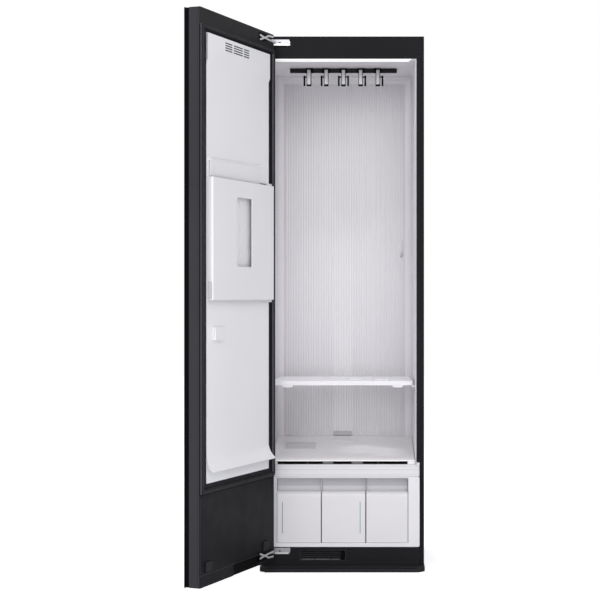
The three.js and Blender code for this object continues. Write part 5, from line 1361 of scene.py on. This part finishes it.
@dataclass
class MachineRoom(Assembly):
    """Heat pump, fan, steam generator, pump and controls behind the bay."""

    rows: tuple[Row, ...] = (
        Row("compressor", "compressor_can", BLACK_COAT, 0.8),
        Row("evaporator", "evaporator_fins", COIL_ALUMINIUM, 0.0),
        Row("condenser", "condenser_fins", COIL_COPPER, 0.0),
        Row("fan_housing", "fan_scroll", WHITE_MOULD, 0.8),
        Row("fan_impeller", "fan_blades", TANK_GREY, 0.0, Body.FAN),
        Row("steam_generator", "steam_boiler", ZINC, 0.8),
        Row("water_pump", "pump_body", BLACK_MOULD, 0.6),
        Row("control_box", "control_case", CONTROL_GREY, 0.6),
    )


# Studio, in metres


@dataclass
class Lamp:
    """A soft area lamp aimed at a point."""

    name: str
    place: Point
    aim: Point
    size: Span
    power: float
    spread: float = 180.0

    def build(self) -> None:
        """Hangs the lamp."""
        data = bpy.data.lights.new(self.name, "AREA")
        data.shape = "RECTANGLE"
        data.size, data.size_y = self.size
        data.energy = self.power
        data.spread = math.radians(self.spread)
        lamp = bpy.data.objects.new(self.name, data)
        bpy.context.scene.collection.objects.link(lamp)
        lamp.location = self.place
        lamp.rotation_mode = "QUATERNION"
        lamp.rotation_quaternion = (Vector(self.aim) - Vector(self.place)).to_track_quat("-Z", "Y")


@dataclass
class Studio:
    """Pale floor, white surround, soft lamps and the camera."""

    camera_place: Point = (0.1048, -5.646, 1.0011)
    lens: float = 92.15
    shift: Span = (-0.1183, -0.0045)
    floor_half: float = 14.0
    floor_lift: float = 0.6  # how much the camera sees the floor glow
    ambient: float = 0.52
    lamps: tuple[Lamp, ...] = (
        Lamp("key_lamp", (1.5, -3.4, 3.1), (0.0, 0.1, 0.9), (2.6, 2.2), 37.0),
        Lamp("fill_lamp", (-1.3, -4.4, 2.3), (0.0, 0.0, 0.9), (2.2, 2.2), 56.0),
        Lamp("low_lamp", (0.3, -3.3, 0.6), (0.0, 0.4, 0.6), (2.4, 0.7), 20.0),
        Lamp("bar_lamp", (0.0, 0.016, 1.866), (0.0, 0.22, 0.4), (0.46, 0.012), 0.5, 64.0),
        Lamp("rear_lamp", (-1.2, 3.4, 2.8), (0.0, 0.3, 1.0), (2.4, 2.0), 40.0),
    )

    def surround(self) -> None:
        """A white world for the camera, for gloss and for glass, and a plain level for the rest."""
        world = bpy.data.worlds.new("surround")
        bpy.context.scene.world = world
        world.use_nodes = True
        nodes = Nodes(world.node_tree)
        rays = nodes.add("LightPath").outputs
        seen = rays["Is Camera Ray"]
        for name in ("Is Glossy Ray", "Is Transmission Ray"):
            most = nodes.add("Math", operation="MAXIMUM")
            nodes.link(seen, most.inputs[0])
            nodes.link(rays[name], most.inputs[1])
            seen = most.outputs[0]
        ground = world.node_tree.nodes["Background"]
        ground.inputs["Color"].default_value = (1.0, 1.0, 1.0, 1.0)
        nodes.link(nodes.ramp(seen, WHOLE, (self.ambient, 1.0)), ground.inputs["Strength"])

    def floor(self) -> None:
        """A pale floor that keeps the cabinet's shadow."""
        Bench.clear()
        bpy.ops.mesh.primitive_plane_add(size=2 * self.floor_half)
        floor = bpy.context.object
        floor.name = "studio_floor"
        bench = ShaderBench("studio_floor")
        bench.fixed(base_color=(0.86, 0.86, 0.87, 1.0), roughness=0.9, specular_ior_level=0.1,
                    emission_color=(1.0, 1.0, 1.0, 1.0))
        lift = bench.ramp(bench.add("LightPath").outputs["Is Camera Ray"], WHOLE, (0.0, self.floor_lift))
        bench.into("Emission Strength", lift)
        floor.data.materials.append(bench.material)

    def camera(self) -> None:
        """The camera at the photograph's place and framing."""
        data = bpy.data.cameras.new("view")
        data.sensor_width = 36.0
        data.lens = self.lens
        data.shift_x, data.shift_y = self.shift
        data.clip_start, data.clip_end = 0.1, 60.0
        camera = bpy.data.objects.new("view", data)
        bpy.context.scene.collection.objects.link(camera)
        camera.location = self.camera_place
        camera.rotation_euler = (math.pi / 2, 0.0, 0.0)
        bpy.context.scene.camera = camera

    def build(self) -> None:
        """Sets up the studio."""
        for spare in [o for o in bpy.data.objects if o.name in ("Cube", "Light", "Camera")]:
            bpy.data.objects.remove(spare)
        bpy.context.scene.view_settings.view_transform = "Standard"
        self.surround()
        self.floor()
        self.camera()
        for lamp in self.lamps:
            lamp.build()


def main() -> None:
    """Builds the cabinet's looks in order and reports each piece."""
    logging.basicConfig(level=logging.INFO, format="%(name)s: %(message)s")
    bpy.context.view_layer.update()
    Studio().build()
    for assembly in (Shell(), Chamber(), HangingRail(), Bay(), Door(), MachineRoom()):
        for piece in assembly.build():
            LOG.info("%s: %s has %d faces", type(assembly).__name__, piece.name, len(piece.data.polygons))
    Bench.clear()


if __name__ == "__main__":
    main()
